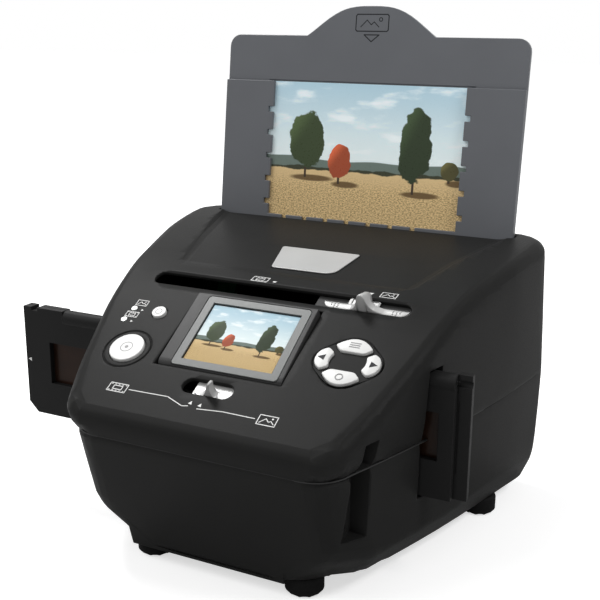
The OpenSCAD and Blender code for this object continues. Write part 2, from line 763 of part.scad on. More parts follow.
// ---- light source on its rails, and the knob that moves it ----
slide_gap = 0.2;             // between a slider and the edges of its slot
knob_l = 44;
knob_strip = [-slot_w / 2 + slide_gap, -0.2];  // front and back edge of its flat strip in the slot
knob_top = -0.6;
rail_r = 2;
rail_zs = [axis_z - 26, axis_z + 34];
rail_x = 75;
light_w = 42;
light_h = 44;
light_y0 = film_y + holder_t + 3.4;
light_t = 7;
carriage_y0 = light_y0 + light_t;
carriage_t = 6.4;
rail_y = carriage_y0 + carriage_t / 2;
carriage_h = -wall - 0.2;    // top of the carriage under the panel
// Upright fin: front gives its outline as x and h, side its outline as v and h
module fin(front, side) {
    intersection() {
        rotate([90, 0, 0]) linear_extrude(40, center = true) polygon(front);
        rotate([90, 0, 90]) linear_extrude(40, center = true) polygon(side);
    }
}
// Flat strip in a slot, from v = band[0] to band[1], with the slot's round ends
module strip(l, band, top) {
    translate([0, 0, carriage_h]) linear_extrude(top - carriage_h) intersection() {
        slot2d(l, slot_w - 2 * slide_gap);
        translate([-l / 2, band[0]]) square([l, band[1] - band[0]]);
    }
}
module light_slider_knob() {
    color(silver) on_panel(light_x, light_slot_v) {
        strip(knob_l, knob_strip, knob_top);
        fin([[-10, -1.2], [-7.4, -0.4], [-5, 1.1], [-2.8, 4.5], [-1.1, 8.7], [-0.4, 9.7], [0.6, 10],
             [1.8, 9.8], [2.4, 9.2], [2.4, 4.9], [2.9, 1], [5, -0.5], [6, -1.2]],
            [[knob_strip[0], -2], [knob_strip[0], 10], [5.6, 3.2], [5.6, 0.8], [3.9, 0.8],
             [3.9, -2]]);
    }
}
module light_carriage() {
    color("dimgray") difference() {
        union() {
            // sliding plate under the panel
            on_panel(light_x, light_slot_v, carriage_h - 2)
                block(-27, 27, -6.2, 4.6, 0, 2);
            // arm down to the light box and bosses on the rails
            block(light_x - 8, light_x + 8, carriage_y0, carriage_y0 + carriage_t,
                  axis_z - 30, top_z(carriage_y0) - 8);
            translate([light_x - 8, 0, 0]) rotate([90, 0, 90]) linear_extrude(16)
                polygon([[carriage_y0, top_z(carriage_y0) - 12],
                         [carriage_y0 + carriage_t, top_z(carriage_y0) - 12],
                         [carriage_y0 + carriage_t, top_z(carriage_y0 + carriage_t) - 5.2],
                         [carriage_y0, top_z(carriage_y0) - 5.2]]);
        }
        for (z = rail_zs) bar_x(-big, big, rail_y, z, rail_r + run_gap);
    }
}
module light_box() {
    color(white) difference() {
        block(light_x - light_w / 2, light_x + light_w / 2, light_y0, carriage_y0,
              axis_z - light_h / 2, axis_z + light_h / 2);
        block(light_x - light_w / 2 + 1.5, light_x + light_w / 2 - 1.5, light_y0 - 1,
              carriage_y0 - 1.5, axis_z - light_h / 2 + 1.5, axis_z + light_h / 2 - 1.5);
    }
}
module light_diffuser() {
    color([0.95, 0.95, 0.95]) block(light_x - light_w / 2 + 1.5, light_x + light_w / 2 - 1.5,
        light_y0, light_y0 + 1.2, axis_z - light_h / 2 + 1.5, axis_z + light_h / 2 - 1.5);
}
module light_board() {
    color(board_green) block(light_x - light_w / 2 + 1.5, light_x + light_w / 2 - 1.5,
        carriage_y0 - 2.7, carriage_y0 - 1.5, axis_z - light_h / 2 + 1.5,
        axis_z + light_h / 2 - 1.5);
}
module light_rails() {
    color("silver") for (z = rail_zs) bar_x(-rail_x, rail_x, rail_y, z, rail_r);
}
module rail_supports() {
    color("dimgray") for (s = [-1, 1]) difference() {
        block(s > 0 ? rail_x - 3 : -rail_x, s > 0 ? rail_x : -rail_x + 3,
              rail_y - 5, rail_y + 5, floor_z, rail_zs[1] + 5);
        for (z = rail_zs) bar_x(-big, big, rail_y, z, rail_r);
    }
}

// ---- camera: mount, barrel, focus ring and its lever ----
lens_r = 9;
camera_y = 11;               // front of the camera board
barrel_y0 = 17;
barrel_y1 = 36;
mount_y = 26;
mount_t = 3;
ring_y = 20;
ring_t = 4.5;
ring_r = 12;
prong_end = 15.2;            // reach of the ring's prongs from the lens axis
post_xz = [[-13.5, -9.5], [13.5, -9.5], [-13.5, 9.5], [13.5, 9.5]];
module camera_mount() {
    color("dimgray") difference() {
        union() {
            block(-20, 20, mount_y, mount_y + mount_t, floor_z, axis_z + 16);
            block(-20, 20, mount_y, mount_y + 18, floor_z, floor_z + 3);
            for (s = [-1, 1]) translate([s * 17.5 - 1.25, 0, 0]) rotate([90, 0, 90])
                linear_extrude(2.5) polygon([[mount_y + 1, floor_z + 1],
                    [mount_y + 18, floor_z + 1], [mount_y + mount_t - 1, axis_z - 14]]);
            for (p = post_xz)
                bar_y(p[0], axis_z + p[1], camera_y + board_t, mount_y + 1, 2);
        }
        bar_y(0, axis_z, 0, big, lens_r + run_gap);
    }
}
module camera_board() {
    color(board_green) block(-16, 16, camera_y, camera_y + board_t, axis_z - 12, axis_z + 12);
}
module image_sensor() {
    color("black") block(-5, 5, camera_y + board_t, camera_y + board_t + 1.5,
                         axis_z - 5, axis_z + 5);
}
module lens_barrel() {
    color("black") difference() {
        union() {
            bar_y(0, axis_z, barrel_y0, barrel_y1, lens_r);
            // collar that seats on the mount
            bar_y(0, axis_z, mount_y + mount_t, mount_y + mount_t + 2, lens_r + 2);
        }
        bar_y(0, axis_z, 0, big, lens_r - 2);
    }
}
module lenses() {
    color([0.7, 0.8, 0.9]) for (y = [barrel_y0 + 2, barrel_y0 + 9, barrel_y1 - 3.5])
        bar_y(0, axis_z, y, y + 2.2, lens_r - 2);
}
// The lever's pin works between the two prongs of the ring
lever_x = focus_slot_x + 4.1;
lever_l = focus_slot_l - focus_travel - 0.6;
lever_offset = focus_slot_x + (focus_travel - lever_x * 2) / 2;  // of its strip, from the fin
lever_strip = [-slot_w / 2 + slide_gap, -1];
lever_top = -1.4;
pin_x = focus_travel / 2;
pin_reach = 14.5;            // height of the drive pin above the lens axis
drive_r = 1.6;
ring_turn = atan(pin_x / pin_reach);
module focus_ring() {
    color("silver") translate([0, 0, axis_z]) rotate([0, ring_turn, 0])
        translate([0, 0, -axis_z]) difference() {
            union() {
                bar_y(0, axis_z, ring_y, ring_y + ring_t, ring_r);
                for (s = [-1, 1])
                    block(s > 0 ? drive_r + 0.5 : -drive_r - 3, s > 0 ? drive_r + 3 : -drive_r - 0.5,
                          ring_y, ring_y + ring_t, axis_z + ring_r - 2, axis_z + prong_end);
            }
            bar_y(0, axis_z, 0, big, lens_r + run_gap);
        }
}
module focus_lever() {
    color(silver) {
        on_panel(lever_x, focus_slot_v) {
            translate([lever_offset, 0, 0]) strip(lever_l, lever_strip, lever_top);
            fin([[-6.4, -2], [-4.4, -0.6], [-2.6, 2.1], [-0.6, 6.8], [-0.1, 7.6], [0.5, 7.7],
                 [0.9, 7], [0.2, 4], [0.1, 1.6], [0.6, -0.6], [2.6, -2]],
                [[lever_strip[0], -2.4], [lever_strip[0], 7.8], [0.2, 6], [0.2, -2.4]]);
            translate([0, 0, carriage_h - 1.6]) linear_extrude(1.6)
                rounded2d(24, slot_w + 4, 2);
        }
        // stem in front of the ring, and the drive pin between the ring's prongs
        block(pin_x - 1.8, pin_x + 1.8, ring_y - 2.8, ring_y - 0.4,
              axis_z + pin_reach - 1.8, axis_z + pin_reach + 1.8);
        bar_y(pin_x, axis_z + pin_reach, ring_y - 1, ring_y + ring_t - 0.5, drive_r);
    }
}

// ---- film gate inside, holder and film ----
gate_x = 62;
gate_wall = 1.6;
module film_gate() {
    z0 = holder_z0 - gap;
    y0 = film_y - 1.4;
    y1 = film_y + holder_t + 1.4;
    color("black") difference() {
        union() {
            // trough under the holder
            block(-gate_x, gate_x, y0 - gate_wall, y1 + gate_wall, z0 - 2, z0);
            block(-gate_x, gate_x, y0 - gate_wall, film_y - touch, z0 - 2, z0 + 5);
            block(-gate_x, gate_x, film_y + holder_t + touch, y1 + gate_wall, z0 - 2, z0 + 5);
            // mask in front of the scanned frame
            block(-27, 27, y0 - gate_wall, y0, z0 - 2, axis_z + 22);
            // legs
            for (s = [-1, 1])
                block(s > 0 ? gate_x - 12 : -gate_x, s > 0 ? gate_x : -gate_x + 12,
                      y0 - gate_wall, y1 + gate_wall, floor_z, z0 - 1);
        }
        block(-20, 20, 0, big / 4, axis_z - 14, axis_z + 14);
    }
}
barrel_spans = [[holder_x0 + 27.4, -55], [-54.6, -20], [-19.6, 30], [30.4, 66],
                [66.4, front_leaf_x1]];
// Barrels belong to the two leaves in turn
function barrels(odd) = [for (i = [odd:2:len(barrel_spans) - 1]) barrel_spans[i]];
module leaf(x0, x1, y0, odd) {
    chamfer = 6;
    difference() {
        union() {
            difference() {
                translate([0, y0 + leaf_t, 0]) rotate([90, 0, 0]) linear_extrude(leaf_t)
                    polygon([[x0, holder_z0 + chamfer], [x0 + chamfer, holder_z0],
                             [x1, holder_z0], [x1, holder_z1], [x0, holder_z1]]);
                // room for the other leaf's barrels
                for (b = barrels(1 - odd))
                    bar_x(b[0] - 0.2, b[1] + 0.2, barrel_y, barrel_z, barrel_r + 0.2);
                // above the barrels the leaf is cut away
                block(barrel_spans[0][0] - 0.2, front_leaf_x1 + 0.2, -big, big,
                      barrel_z, big);
            }
            for (b = barrels(odd)) bar_x(b[0], b[1], barrel_y, barrel_z, barrel_r);
            // web that joins each barrel to its leaf
            for (b = barrels(odd))
                block(b[0], b[1], y0, y0 + leaf_t, barrel_z - barrel_r - 1, barrel_z);
        }
        bar_x(-big, big, barrel_y, barrel_z, hinge_pin_r + (odd == 0 ? 0 : run_gap));
        for (x = frame_xs)
            block(x - aperture[0] / 2, x + aperture[0] / 2, -big, big,
                  axis_z - aperture[1] / 2, axis_z + aperture[1] / 2);
        // step at the left end of the top edge
        block(holder_x0 + 5.5, holder_x0 + 9.5, -big, big, holder_z1 - 2, big);
    }
}
film_bed_t = 0.3;
module film_bed() {
    block(holder_x0 + 6, front_leaf_x1 + 1, film_y + leaf_t + touch / 2 - film_bed_t / 2,
          film_y + leaf_t + touch / 2 + film_bed_t / 2, axis_z - film_h / 2 - 0.2,
          axis_z + film_h / 2 + 0.2);
}
module holder_front_leaf() {
    color(charcoal) difference() {
        leaf(holder_x0, front_leaf_x1, film_y, 0);
        film_bed();
    }
}
module holder_rear_leaf() {
    color(charcoal) difference() {
        leaf(holder_x0, holder_x1, film_y + leaf_t + touch, 1);
        film_bed();
    }
}
module holder_hinge_pin() {
    color("gray") bar_x(barrel_spans[0][0] + 0.5, front_leaf_x1 - 0.5, barrel_y, barrel_z,
                        hinge_pin_r);
}
module film_strip() {
    mid = film_y + holder_t / 2;
    color([0.45, 0.24, 0.10])
        block(frame_xs[0] - frame_pitch / 2, frame_xs[frame_count - 1] + frame_pitch / 2,
              mid - film_t / 2, mid + film_t / 2, axis_z - film_h / 2, axis_z + film_h / 2);
}

// ---- photo tray ----
tray_corner_r = 7;
bump_w = 79;
bump_x = -1;
bump_h = 16.8;
window_s0 = 1;               // lower edge of the window
notch = [3.2, 3.2];
notch_pitch = 13.8;
notch_s0 = 8.6;              // height of the lowest notch at each side
notch_x0 = -48.8;            // leftmost of the notches in the lower edge
notch_count = 7;
print_size = [127, 89];
print_t = 0.25;
print_bed_t = 0.35;
// Outline of the back plate: round upper corners, and a low arch in the middle of the
// top edge for pulling the tray
function plate_corner(side, a0) = [for (a = [a0:15:a0 + 90])
    [side * (tray_w / 2 - tray_corner_r), tray_rise - tray_corner_r]
        + tray_corner_r * [cos(a), sin(a)]];
function arch(u) = bump_h * (1 - pow(abs(u), 3.2)) / (1 + 0.9 * pow(abs(u), 3.2));
module tray2d() {
    polygon(concat(
        [[-tray_w / 2, -tray_drop], [tray_w / 2, -tray_drop]],
        plate_corner(1, 0),
        [for (i = [12:-1:-12]) [bump_x + i / 12 * bump_w / 2, tray_rise + arch(i / 12)]],
        plate_corner(-1, 90)));
}
module tray_back_plate() {
    color(tray_grey) on_tray() difference() {
        translate([0, frame_t + plate_t, 0]) rotate([90, 0, 0]) linear_extrude(plate_t)
            tray2d();
        translate([-print_size[0] / 2 - 0.5, frame_t - 1, -9])
            cube([print_size[0] + 1, 1 + print_bed_t, print_size[1] + 1.2]);
    }
}
module tray_front_frame() {
    color(tray_grey) on_tray() difference() {
        block(-tray_w / 2, tray_w / 2, 0, frame_t, -tray_drop, frame_rise);
        block(-window_w / 2, window_w / 2, -1, frame_t + 1, window_s0, big);
        // small notches around the window
        for (i = [0:4])
            for (s = [-1, 1])
                translate([s * window_w / 2, 0, notch_s0 + i * notch_pitch])
                    cube([2 * notch[0], 3 * frame_t, notch[1]], center = true);
        for (i = [0:notch_count - 1])
            translate([notch_x0 + i * notch_pitch, 0, window_s0])
                cube([notch[1], 3 * frame_t, 2 * notch[0]], center = true);
    }
}
module photo_print() {
    color([0.62, 0.66, 0.66]) on_tray() translate([-print_size[0] / 2, frame_t + 0.05, -8.5])
        cube([print_size[0], print_t, print_size[1]]);
}
guide_w = 9;
module tray_guides() {
    // grooved channels that hold the tray's edges
    color("dimgray") intersection() {
        on_tray() for (s = [-1, 1]) difference() {
            block(s > 0 ? tray_w / 2 - 3 : -tray_w / 2 - guide_w + 3,
                  s > 0 ? tray_w / 2 + guide_w - 3 : -tray_w / 2 + 3,
                  -3.2, tray_t + 3.2, -tray_drop - tray_travel - 12, -6);
            block(-tray_w / 2 - gap, tray_w / 2 + gap, -touch, tray_t + touch, -big, big);
        }
        block(-big, big, 0, big, floor_z, big);
    }
}

// ---- lamps for the photo, boards and sockets ----
lamp_board_x = 66;
lamp_board_y = 146;
lamp_zs = [for (i = [-2.5:2.5]) axis_z + i * 14];
lamp_size = [3.5, 1.6, 2.8];
module photo_light_boards() {
    color(board_green) for (s = [-1, 1])
        block(s * lamp_board_x - 6, s * lamp_board_x + 6, lamp_board_y, lamp_board_y + board_t,
              floor_z, lamp_zs[5] + 9);
}
module photo_lamps() {
    color("white") for (s = [-1, 1])
        for (z = lamp_zs)
            translate([s * lamp_board_x - lamp_size[0] / 2, lamp_board_y + board_t,
                       z - lamp_size[2] / 2]) cube(lamp_size);
}
main_board_z = 19;
main_board_w = 112;
main_board_l = 54;
main_board_y = 92;           // its front edge
post_inset = 4;
board_posts = [for (s = [-1, 1])
    for (y = [post_inset, main_board_l - post_inset])
        [s * (main_board_w / 2 - post_inset), main_board_y + y]];
module main_board() {
    color(board_green) block(-main_board_w / 2, main_board_w / 2, main_board_y,
                             main_board_y + main_board_l, main_board_z,
                             main_board_z + board_t);
}
// Place on the board and size of each chip, and of the wires' connector
chips = [[[-14, 16], [18, 18, 1.6]], [[12, 12], [10, 14, 1.2]], [[-38, 20], [10, 14, 1.2]]];
connector = [[30, 34], [16, 10, 6]];
capacitor_xs = [-44, -34, -24];
capacitor_y = 44;
capacitor_r = 3.1;
capacitor_h = 9;
module main_chips() {
    translate([0, main_board_y, main_board_z + board_t]) {
        color("black") for (c = chips) translate(c[0]) cube(c[1]);
        color("silver") translate(connector[0]) cube(connector[1]);
        color("silver") for (x = capacitor_xs)
            translate([x, capacitor_y, 0])
                cylinder(r = capacitor_r, h = capacitor_h, $fn = fine);
    }
}
card_board_x = 57.5;
card_board_y0 = 17;
card_board_y1 = 33;
card_board_z1 = usb_z1 + 6;
module card_board() {
    color(board_green) block(card_board_x, card_board_x + board_t, card_board_y0,
                             card_board_y1, card_z0 + 2, card_board_z1);
}
module card_socket() {
    color("silver") difference() {
        block(card_board_x + board_t, port_floor - port_wall - touch, card_y0 + 3,
              card_y1 - 1.4, card_z0 + 2, seam_z - 3);
        block(card_board_x + board_t + 2, big, card_slit[0], card_slit[1], card_slit[2],
              card_slit[3]);
    }
}
module usb_socket() {
    color("silver") difference() {
        block(card_board_x + board_t, port_floor - 0.4, usb_shell[0], usb_shell[1],
              usb_shell[2], usb_shell[3]);
        block(card_board_x + board_t + 2, big, usb_shell[0] + usb_shell_t,
              usb_shell[1] - usb_shell_t, usb_shell[2] + usb_shell_t,
              usb_shell[3] - usb_shell_t);
    }
}

lower_case();
upper_case();
rubber_feet();
foot_screws();
case_screws();
name_plate();
screen_housing();
screen_bezel();
screen_panel();
screen_hinge_pins();
scan_button();
power_button();
up_key();
down_key();
left_key();
right_key();
button_boards();
button_switches();
status_lamps();
light_slider_knob();
light_carriage();
light_box();
light_diffuser();
light_board();
light_rails();
rail_supports();
focus_lever();
focus_ring();
lens_barrel();
lenses();
camera_mount();
camera_board();
image_sensor();
film_gate();
holder_front_leaf();
holder_rear_leaf();
holder_hinge_pin();
film_strip();
tray_back_plate();
tray_front_frame();
photo_print();
tray_guides();
photo_light_boards();
photo_lamps();
main_board();
main_chips();
card_board();
card_socket();
usb_socket();
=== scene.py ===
"""The looks of the photo and film scanner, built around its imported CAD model.

The model's frame is in metres: X to the right, Y to the back, Z up. Forms and marks are drawn
in millimetres on a face of the object: X to the right, Y up the face, Z out of it.
"""

import json
import math

import bmesh
import bpy
from mathutils import Matrix, Vector
from mathutils.bvhtree import BVHTree


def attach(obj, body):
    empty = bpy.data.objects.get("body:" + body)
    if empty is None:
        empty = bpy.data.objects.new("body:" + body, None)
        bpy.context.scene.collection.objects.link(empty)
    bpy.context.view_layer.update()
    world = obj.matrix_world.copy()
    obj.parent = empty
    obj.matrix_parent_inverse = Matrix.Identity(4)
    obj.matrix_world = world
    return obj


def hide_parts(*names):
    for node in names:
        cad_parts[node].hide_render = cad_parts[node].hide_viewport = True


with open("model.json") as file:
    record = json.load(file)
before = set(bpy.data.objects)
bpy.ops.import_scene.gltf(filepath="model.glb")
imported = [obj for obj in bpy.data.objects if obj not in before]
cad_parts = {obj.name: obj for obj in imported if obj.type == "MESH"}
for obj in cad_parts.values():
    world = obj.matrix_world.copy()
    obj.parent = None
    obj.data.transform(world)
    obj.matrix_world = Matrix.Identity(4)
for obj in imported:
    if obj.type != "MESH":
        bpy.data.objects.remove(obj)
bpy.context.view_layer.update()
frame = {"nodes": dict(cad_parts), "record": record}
NODES = frame["nodes"]
BODY_OF = {
    node: body
    for body, members in frame["record"]["behaviour"]["bodies"].items()
    for node in members
}
SLOT_OF = {part["node"]: part["material_slot"] for part in frame["record"]["subparts"]}
MM = 0.001
MICRON = 0.001 * MM


# ---------------------------------------------------------------- faces of the object

def face_at(origin, tilt):
    """Matrix from the millimetres of a face to metres; the face is turned up by tilt degrees."""
    turn = Matrix.Rotation(math.radians(tilt), 4, "X")
    return Matrix.Scale(MM, 4) @ Matrix.Translation(origin) @ turn


ACROSS, UP, OUT = range(3)


def direction(face, axis):
    """Unit vector along one axis of a face."""
    return face.to_3x3().col[axis].normalized()


PANEL_Z = 86.0
PANEL_TILT = 28
SCREEN_TILT = Matrix.Rotation(math.radians(4), 4, "X")
TRAY_LEAN = 6.9
PANEL = face_at((0, 0, PANEL_Z), PANEL_TILT)
SCREEN = PANEL @ Matrix.Translation((-4, 38.3, -4.3)) @ SCREEN_TILT
TRAY = face_at((0, 185.4, 145.73), 90 - TRAY_LEAN)
HOLDER = face_at((0, 64, 0), 90)


# ---------------------------------------------------------------- camera and studio

CAMERA_AT = Vector((226.3, -349.8, 261.9)) * MM
CAMERA_AZIMUTH = math.radians(26.19)
CAMERA_ELEVATION = math.radians(15.69)
CAMERA_ROLL = math.radians(0.40)
CAMERA_LENS = 60.23
SENSOR = 36.0
CLIP_START = 0.01


def place(name, data, matrix=None):
    """A new object in the scene."""
    item = bpy.data.objects.new(name, data)
    bpy.context.scene.collection.objects.link(item)
    if matrix is not None:
        item.matrix_world = matrix
    return item


def add_camera():
    level = math.cos(CAMERA_ELEVATION)
    back = Vector((
        math.sin(CAMERA_AZIMUTH) * level,
        -math.cos(CAMERA_AZIMUTH) * level,
        math.sin(CAMERA_ELEVATION),
    ))
    right = (-back).cross(Vector((0, 0, 1))).normalized()
    up = right.cross(-back)
    rolled_right = math.cos(CAMERA_ROLL) * right + math.sin(CAMERA_ROLL) * up
    rolled_up = math.cos(CAMERA_ROLL) * up - math.sin(CAMERA_ROLL) * right
    turn = Matrix((rolled_right, rolled_up, back)).transposed().to_4x4()
    data = bpy.data.cameras.new("camera")
    data.lens = CAMERA_LENS
    data.sensor_fit = "HORIZONTAL"
    data.sensor_width = SENSOR
    data.clip_start = CLIP_START
    bpy.context.scene.camera = place("camera", data, Matrix.Translation(CAMERA_AT) @ turn)


# Square lights: name, place, aim, side and watts
AREA_LIGHTS = (
    ("overhead_softbox", (-0.72, 0.40, 1.25), (-0.05, 0.1, 0.1), 0.42, 14),
    ("edge_light", (0.86, 0.02, 1.02), (0.08, 0.05, 0.12), 0.25, 5),
)
SUN_FROM = Vector((-0.50, -0.45, 0.74))
SUN_STRENGTH = 1.0
SUN_ANGLE = math.radians(35)


def add_lights():
    for name, at, aim, side, watts in AREA_LIGHTS:
        data = bpy.data.lights.new(name, "AREA")
        data.shape = "SQUARE"
        data.size = side
        data.energy = watts
        turn = (Vector(aim) - Vector(at)).to_track_quat("-Z", "Y").to_matrix().to_4x4()
        place(name, data, Matrix.Translation(at) @ turn)
    data = bpy.data.lights.new("key_sun", "SUN")
    data.energy = SUN_STRENGTH
    data.angle = SUN_ANGLE
    place("key_sun", data, SUN_FROM.to_track_quat("Z", "Y").to_matrix().to_4x4())


class NodeTree:
    """A tree of shader nodes, with short names for the nodes that this scene needs."""

    def __init__(self, owner):
        owner.use_nodes = True
        self.nodes, self.links = owner.node_tree.nodes, owner.node_tree.links

    def feed(self, node, inputs):
        """Sets inputs of a node: a socket is linked, a number or a colour is written."""
        for key, value in inputs.items():
            if isinstance(value, bpy.types.NodeSocket):
                self.links.new(value, node.inputs[key])
            else:
                node.inputs[key].default_value = value

    def node(self, kind, inputs, result=0, **settings):
        """One output of a new node."""
        node = self.nodes.new("ShaderNode" + kind)
        for key, value in settings.items():
            setattr(node, key, value)
        self.feed(node, inputs)
        return node.outputs[result]

    def math(self, operation, first, second=0.0):
        return self.node("Math", {0: first, 1: second}, operation=operation)

    def plus(self, first, second):
        return self.math("ADD", first, second)

    def minus(self, first, second):
        return self.math("SUBTRACT", first, second)

    def times(self, first, second):
        return self.math("MULTIPLY", first, second)

    def over(self, first, second):
        return self.math("DIVIDE", first, second)

    def size(self, value):
        return self.math("ABSOLUTE", value)

    def square(self, value):
        return self.math("POWER", value, 2.0)

    def opposite(self, value):
        return self.minus(1.0, value)

    def seen_ray(self, kinds):
        """1 for rays of these kinds, 0 for all others."""
        path = self.nodes.new("ShaderNodeLightPath")
        total = path.outputs[kinds[0]]
        for name in kinds[1:]:
            total = self.math("MAXIMUM", total, path.outputs[name])
        return total


# The background shows to the camera, and to the rays that gloss and glass send on
BACKGROUND_RAYS = ("Is Camera Ray", "Is Glossy Ray", "Is Transmission Ray")
FLOOR_RAYS = ("Is Camera Ray", "Is Transmission Ray")
WHITE = (1, 1, 1, 1)
WORLD_FILL = 0.36
BACKGROUND = 1.0
FLOOR_GLOW = 0.62
FLOOR_COLOUR = (0.72, 0.72, 0.72, 1)
FLOOR_ROUGHNESS = 0.9
FLOOR_HALF = 6.0


def add_world():
    world = bpy.data.worlds.new("studio")
    bpy.context.scene.world = world
    sky = NodeTree(world)
    sky.nodes.clear()
    seen = sky.node("Background", {"Color": WHITE, "Strength": BACKGROUND})
    fill = sky.node("Background", {"Color": WHITE, "Strength": WORLD_FILL})
    mix = sky.node("MixShader", {0: sky.seen_ray(BACKGROUND_RAYS), 1: fill, 2: seen})
    sky.feed(sky.nodes.new("ShaderNodeOutputWorld"), {"Surface": mix})


def add_floor():
    """The floor glows a little where it is seen, which leaves only the shadow grey."""
    mesh = bpy.data.meshes.new("floor")
    corners = [(-1, -1), (1, -1), (1, 1), (-1, 1)]
    mesh.from_pydata([(FLOOR_HALF * x, FLOOR_HALF * y, 0) for x, y in corners], [], [(0, 1, 2, 3)])
    floor = place("floor", mesh)
    surface = Material("floor")
    mesh.materials.append(surface.shade({
        "Base Color": FLOOR_COLOUR,
        "Roughness": FLOOR_ROUGHNESS,
        "Specular IOR Level": 0.0,
        "Emission Color": WHITE,
        "Emission Strength": surface.times(surface.seen_ray(FLOOR_RAYS), FLOOR_GLOW),
    }))


# ---------------------------------------------------------------- materials

NOISE_LOW, NOISE_HIGH = 0.3, 0.7  # nearly all of a noise lies between these


class Material(NodeTree):
    """A Principled material. Colours are three numbers, and lengths are in metres."""

    def __init__(self, name):
        self.material = bpy.data.materials.new(name)
        super().__init__(self.material)

    def shade(self, inputs):
        """Feeds the shader and gives the finished material."""
        self.feed(self.nodes["Principled BSDF"], inputs)
        return self.material

    def object_space(self):
        return self.node("TexCoord", {}, "Object")

    def noise(self, where, scale, detail=2.0, roughness=0.5):
        inputs = {"Vector": where, "Scale": scale, "Detail": detail, "Roughness": roughness}
        return self.node("TexNoise", inputs, "Fac")

    def spread(self, noise, middle, reach):
        """Maps a noise to values within reach of a middle one."""
        return self.node("MapRange", {
            "Value": noise, "From Min": NOISE_LOW, "From Max": NOISE_HIGH,
            "To Min": middle - reach, "To Max": middle + reach,
        }, "Result")

    def ramp(self, value, low, high):
        """0 below low, 1 above high, smooth between them."""
        inputs = {"Value": value, "From Min": low, "From Max": high}
        return self.node("MapRange", inputs, "Result", interpolation_type="SMOOTHSTEP")

    def bump(self, height, depth, strength):
        inputs = {"Height": height, "Distance": depth, "Strength": strength}
        return self.node("Bump", inputs, "Normal")

    def vector(self, x, y):
        return self.node("CombineXYZ", {0: x, 1: y})

    def along(self, where, origin, axis, unit):
        """Distance from origin along an axis, in units of so many metres."""
        inputs = {0: where, 1: axis}
        distance = self.node("VectorMath", inputs, "Value", operation="DOT_PRODUCT")
        return self.times(self.minus(distance, origin.dot(axis)), 1 / unit)

    def paint(self, under, colour, mask):
        """Lays a colour over another one where mask is 1."""
        inputs = {"Factor": mask}
        for key, value in (("A", under), ("B", colour)):
            socket = isinstance(value, bpy.types.NodeSocket)
            inputs[key] = value if socket else (*value, 1)
        return self.node("Mix", inputs, "Result", data_type="RGBA")

    def dim(self, colour, level):
        """A colour times a number."""
        return self.node(
            "Mix", {"Factor": 1, "A": colour, "B": (level, level, level, 1)}, "Result",
            data_type="RGBA", blend_type="MULTIPLY",
        )


def scaled(colour, share):
    return tuple(channel * share for channel in colour)


DRIFT_SCALE = 35
GLOSS_REACH = 0.06
GRAIN_STRENGTH = 0.6


def moulded(name, colour, roughness, grain, depth, specular=0.5, metallic=0.0, variation=0.08):
    """Moulded plastic: a fine spark-eroded grain, with a slight drift in colour and gloss."""
    art = Material(name)
    where = art.object_space()
    drift = art.noise(where, DRIFT_SCALE)
    fine = art.noise(where, grain, 2.5, 0.6)
    return art.shade({
        "Base Color": art.paint(
            scaled(colour, 1 - variation), scaled(colour, 1 + variation), drift,
        ),
        "Roughness": art.spread(fine, roughness, GLOSS_REACH),
        "Normal": art.bump(fine, depth * MM, GRAIN_STRENGTH),
        "Specular IOR Level": specular,
        "Metallic": metallic,
    })


ALONG_MARKS, ACROSS_MARKS = 60, 3000


def brushed(name, colour, roughness, along, metallic=1.0):
    """Metal with fine marks along one axis."""
    art = Material(name)
    scale = [ALONG_MARKS if axis == along else ACROSS_MARKS for axis in "XYZ"]
    stretched = art.node("Mapping", {"Vector": art.object_space(), "Scale": scale})
    marks = art.noise(stretched, 1, 3)
    return art.shade({
        "Base Color": art.paint(scaled(colour, 0.92), colour, marks),
        "Roughness": art.spread(marks, roughness, 0.08),
        "Normal": art.bump(marks, 0.01 * MM, 0.4),
        "Metallic": metallic,
    })


def circuit_board():
    """Solder mask with faint copper traces and small pads."""
    art = Material("circuit_board")
    where = art.object_space()
    traces = art.node("TexBrick", {
        "Vector": where, "Scale": 330, "Mortar Size": 0.03,
        "Color1": (0.010, 0.110, 0.045, 1),
        "Color2": (0.014, 0.140, 0.060, 1),
        "Mortar": (0.035, 0.260, 0.110, 1),
    }, "Color")
    return art.shade({
        "Base Color": traces,
        "Roughness": 0.32,
        "Normal": art.bump(art.noise(where, 700), 0.02 * MM, 0.4),
    })


def lens_glass():
    art = Material("lens_glass")
    tint = art.noise(art.object_space(), 60)
    return art.shade({
        "Base Color": art.paint((0.70, 0.80, 0.92), (0.80, 0.88, 0.95), tint),
        "Roughness": 0.03,
        "Transmission Weight": 0.9,
        "IOR": 1.52,
    })


def film_in_shade():
    """Colour negative film, darkened almost to black as painted shade in the holder's window: an
    orange brown base with darker shapes where the frames are.
    """
    art = Material("film_in_shade")
    shapes = art.noise(art.object_space(), 55, 4)
    return art.shade({
        "Base Color": art.paint((0.005, 0.004, 0.003), (0.034, 0.014, 0.008), shapes),
        "Roughness": 0.30,
        "Specular IOR Level": 0.12,
    })


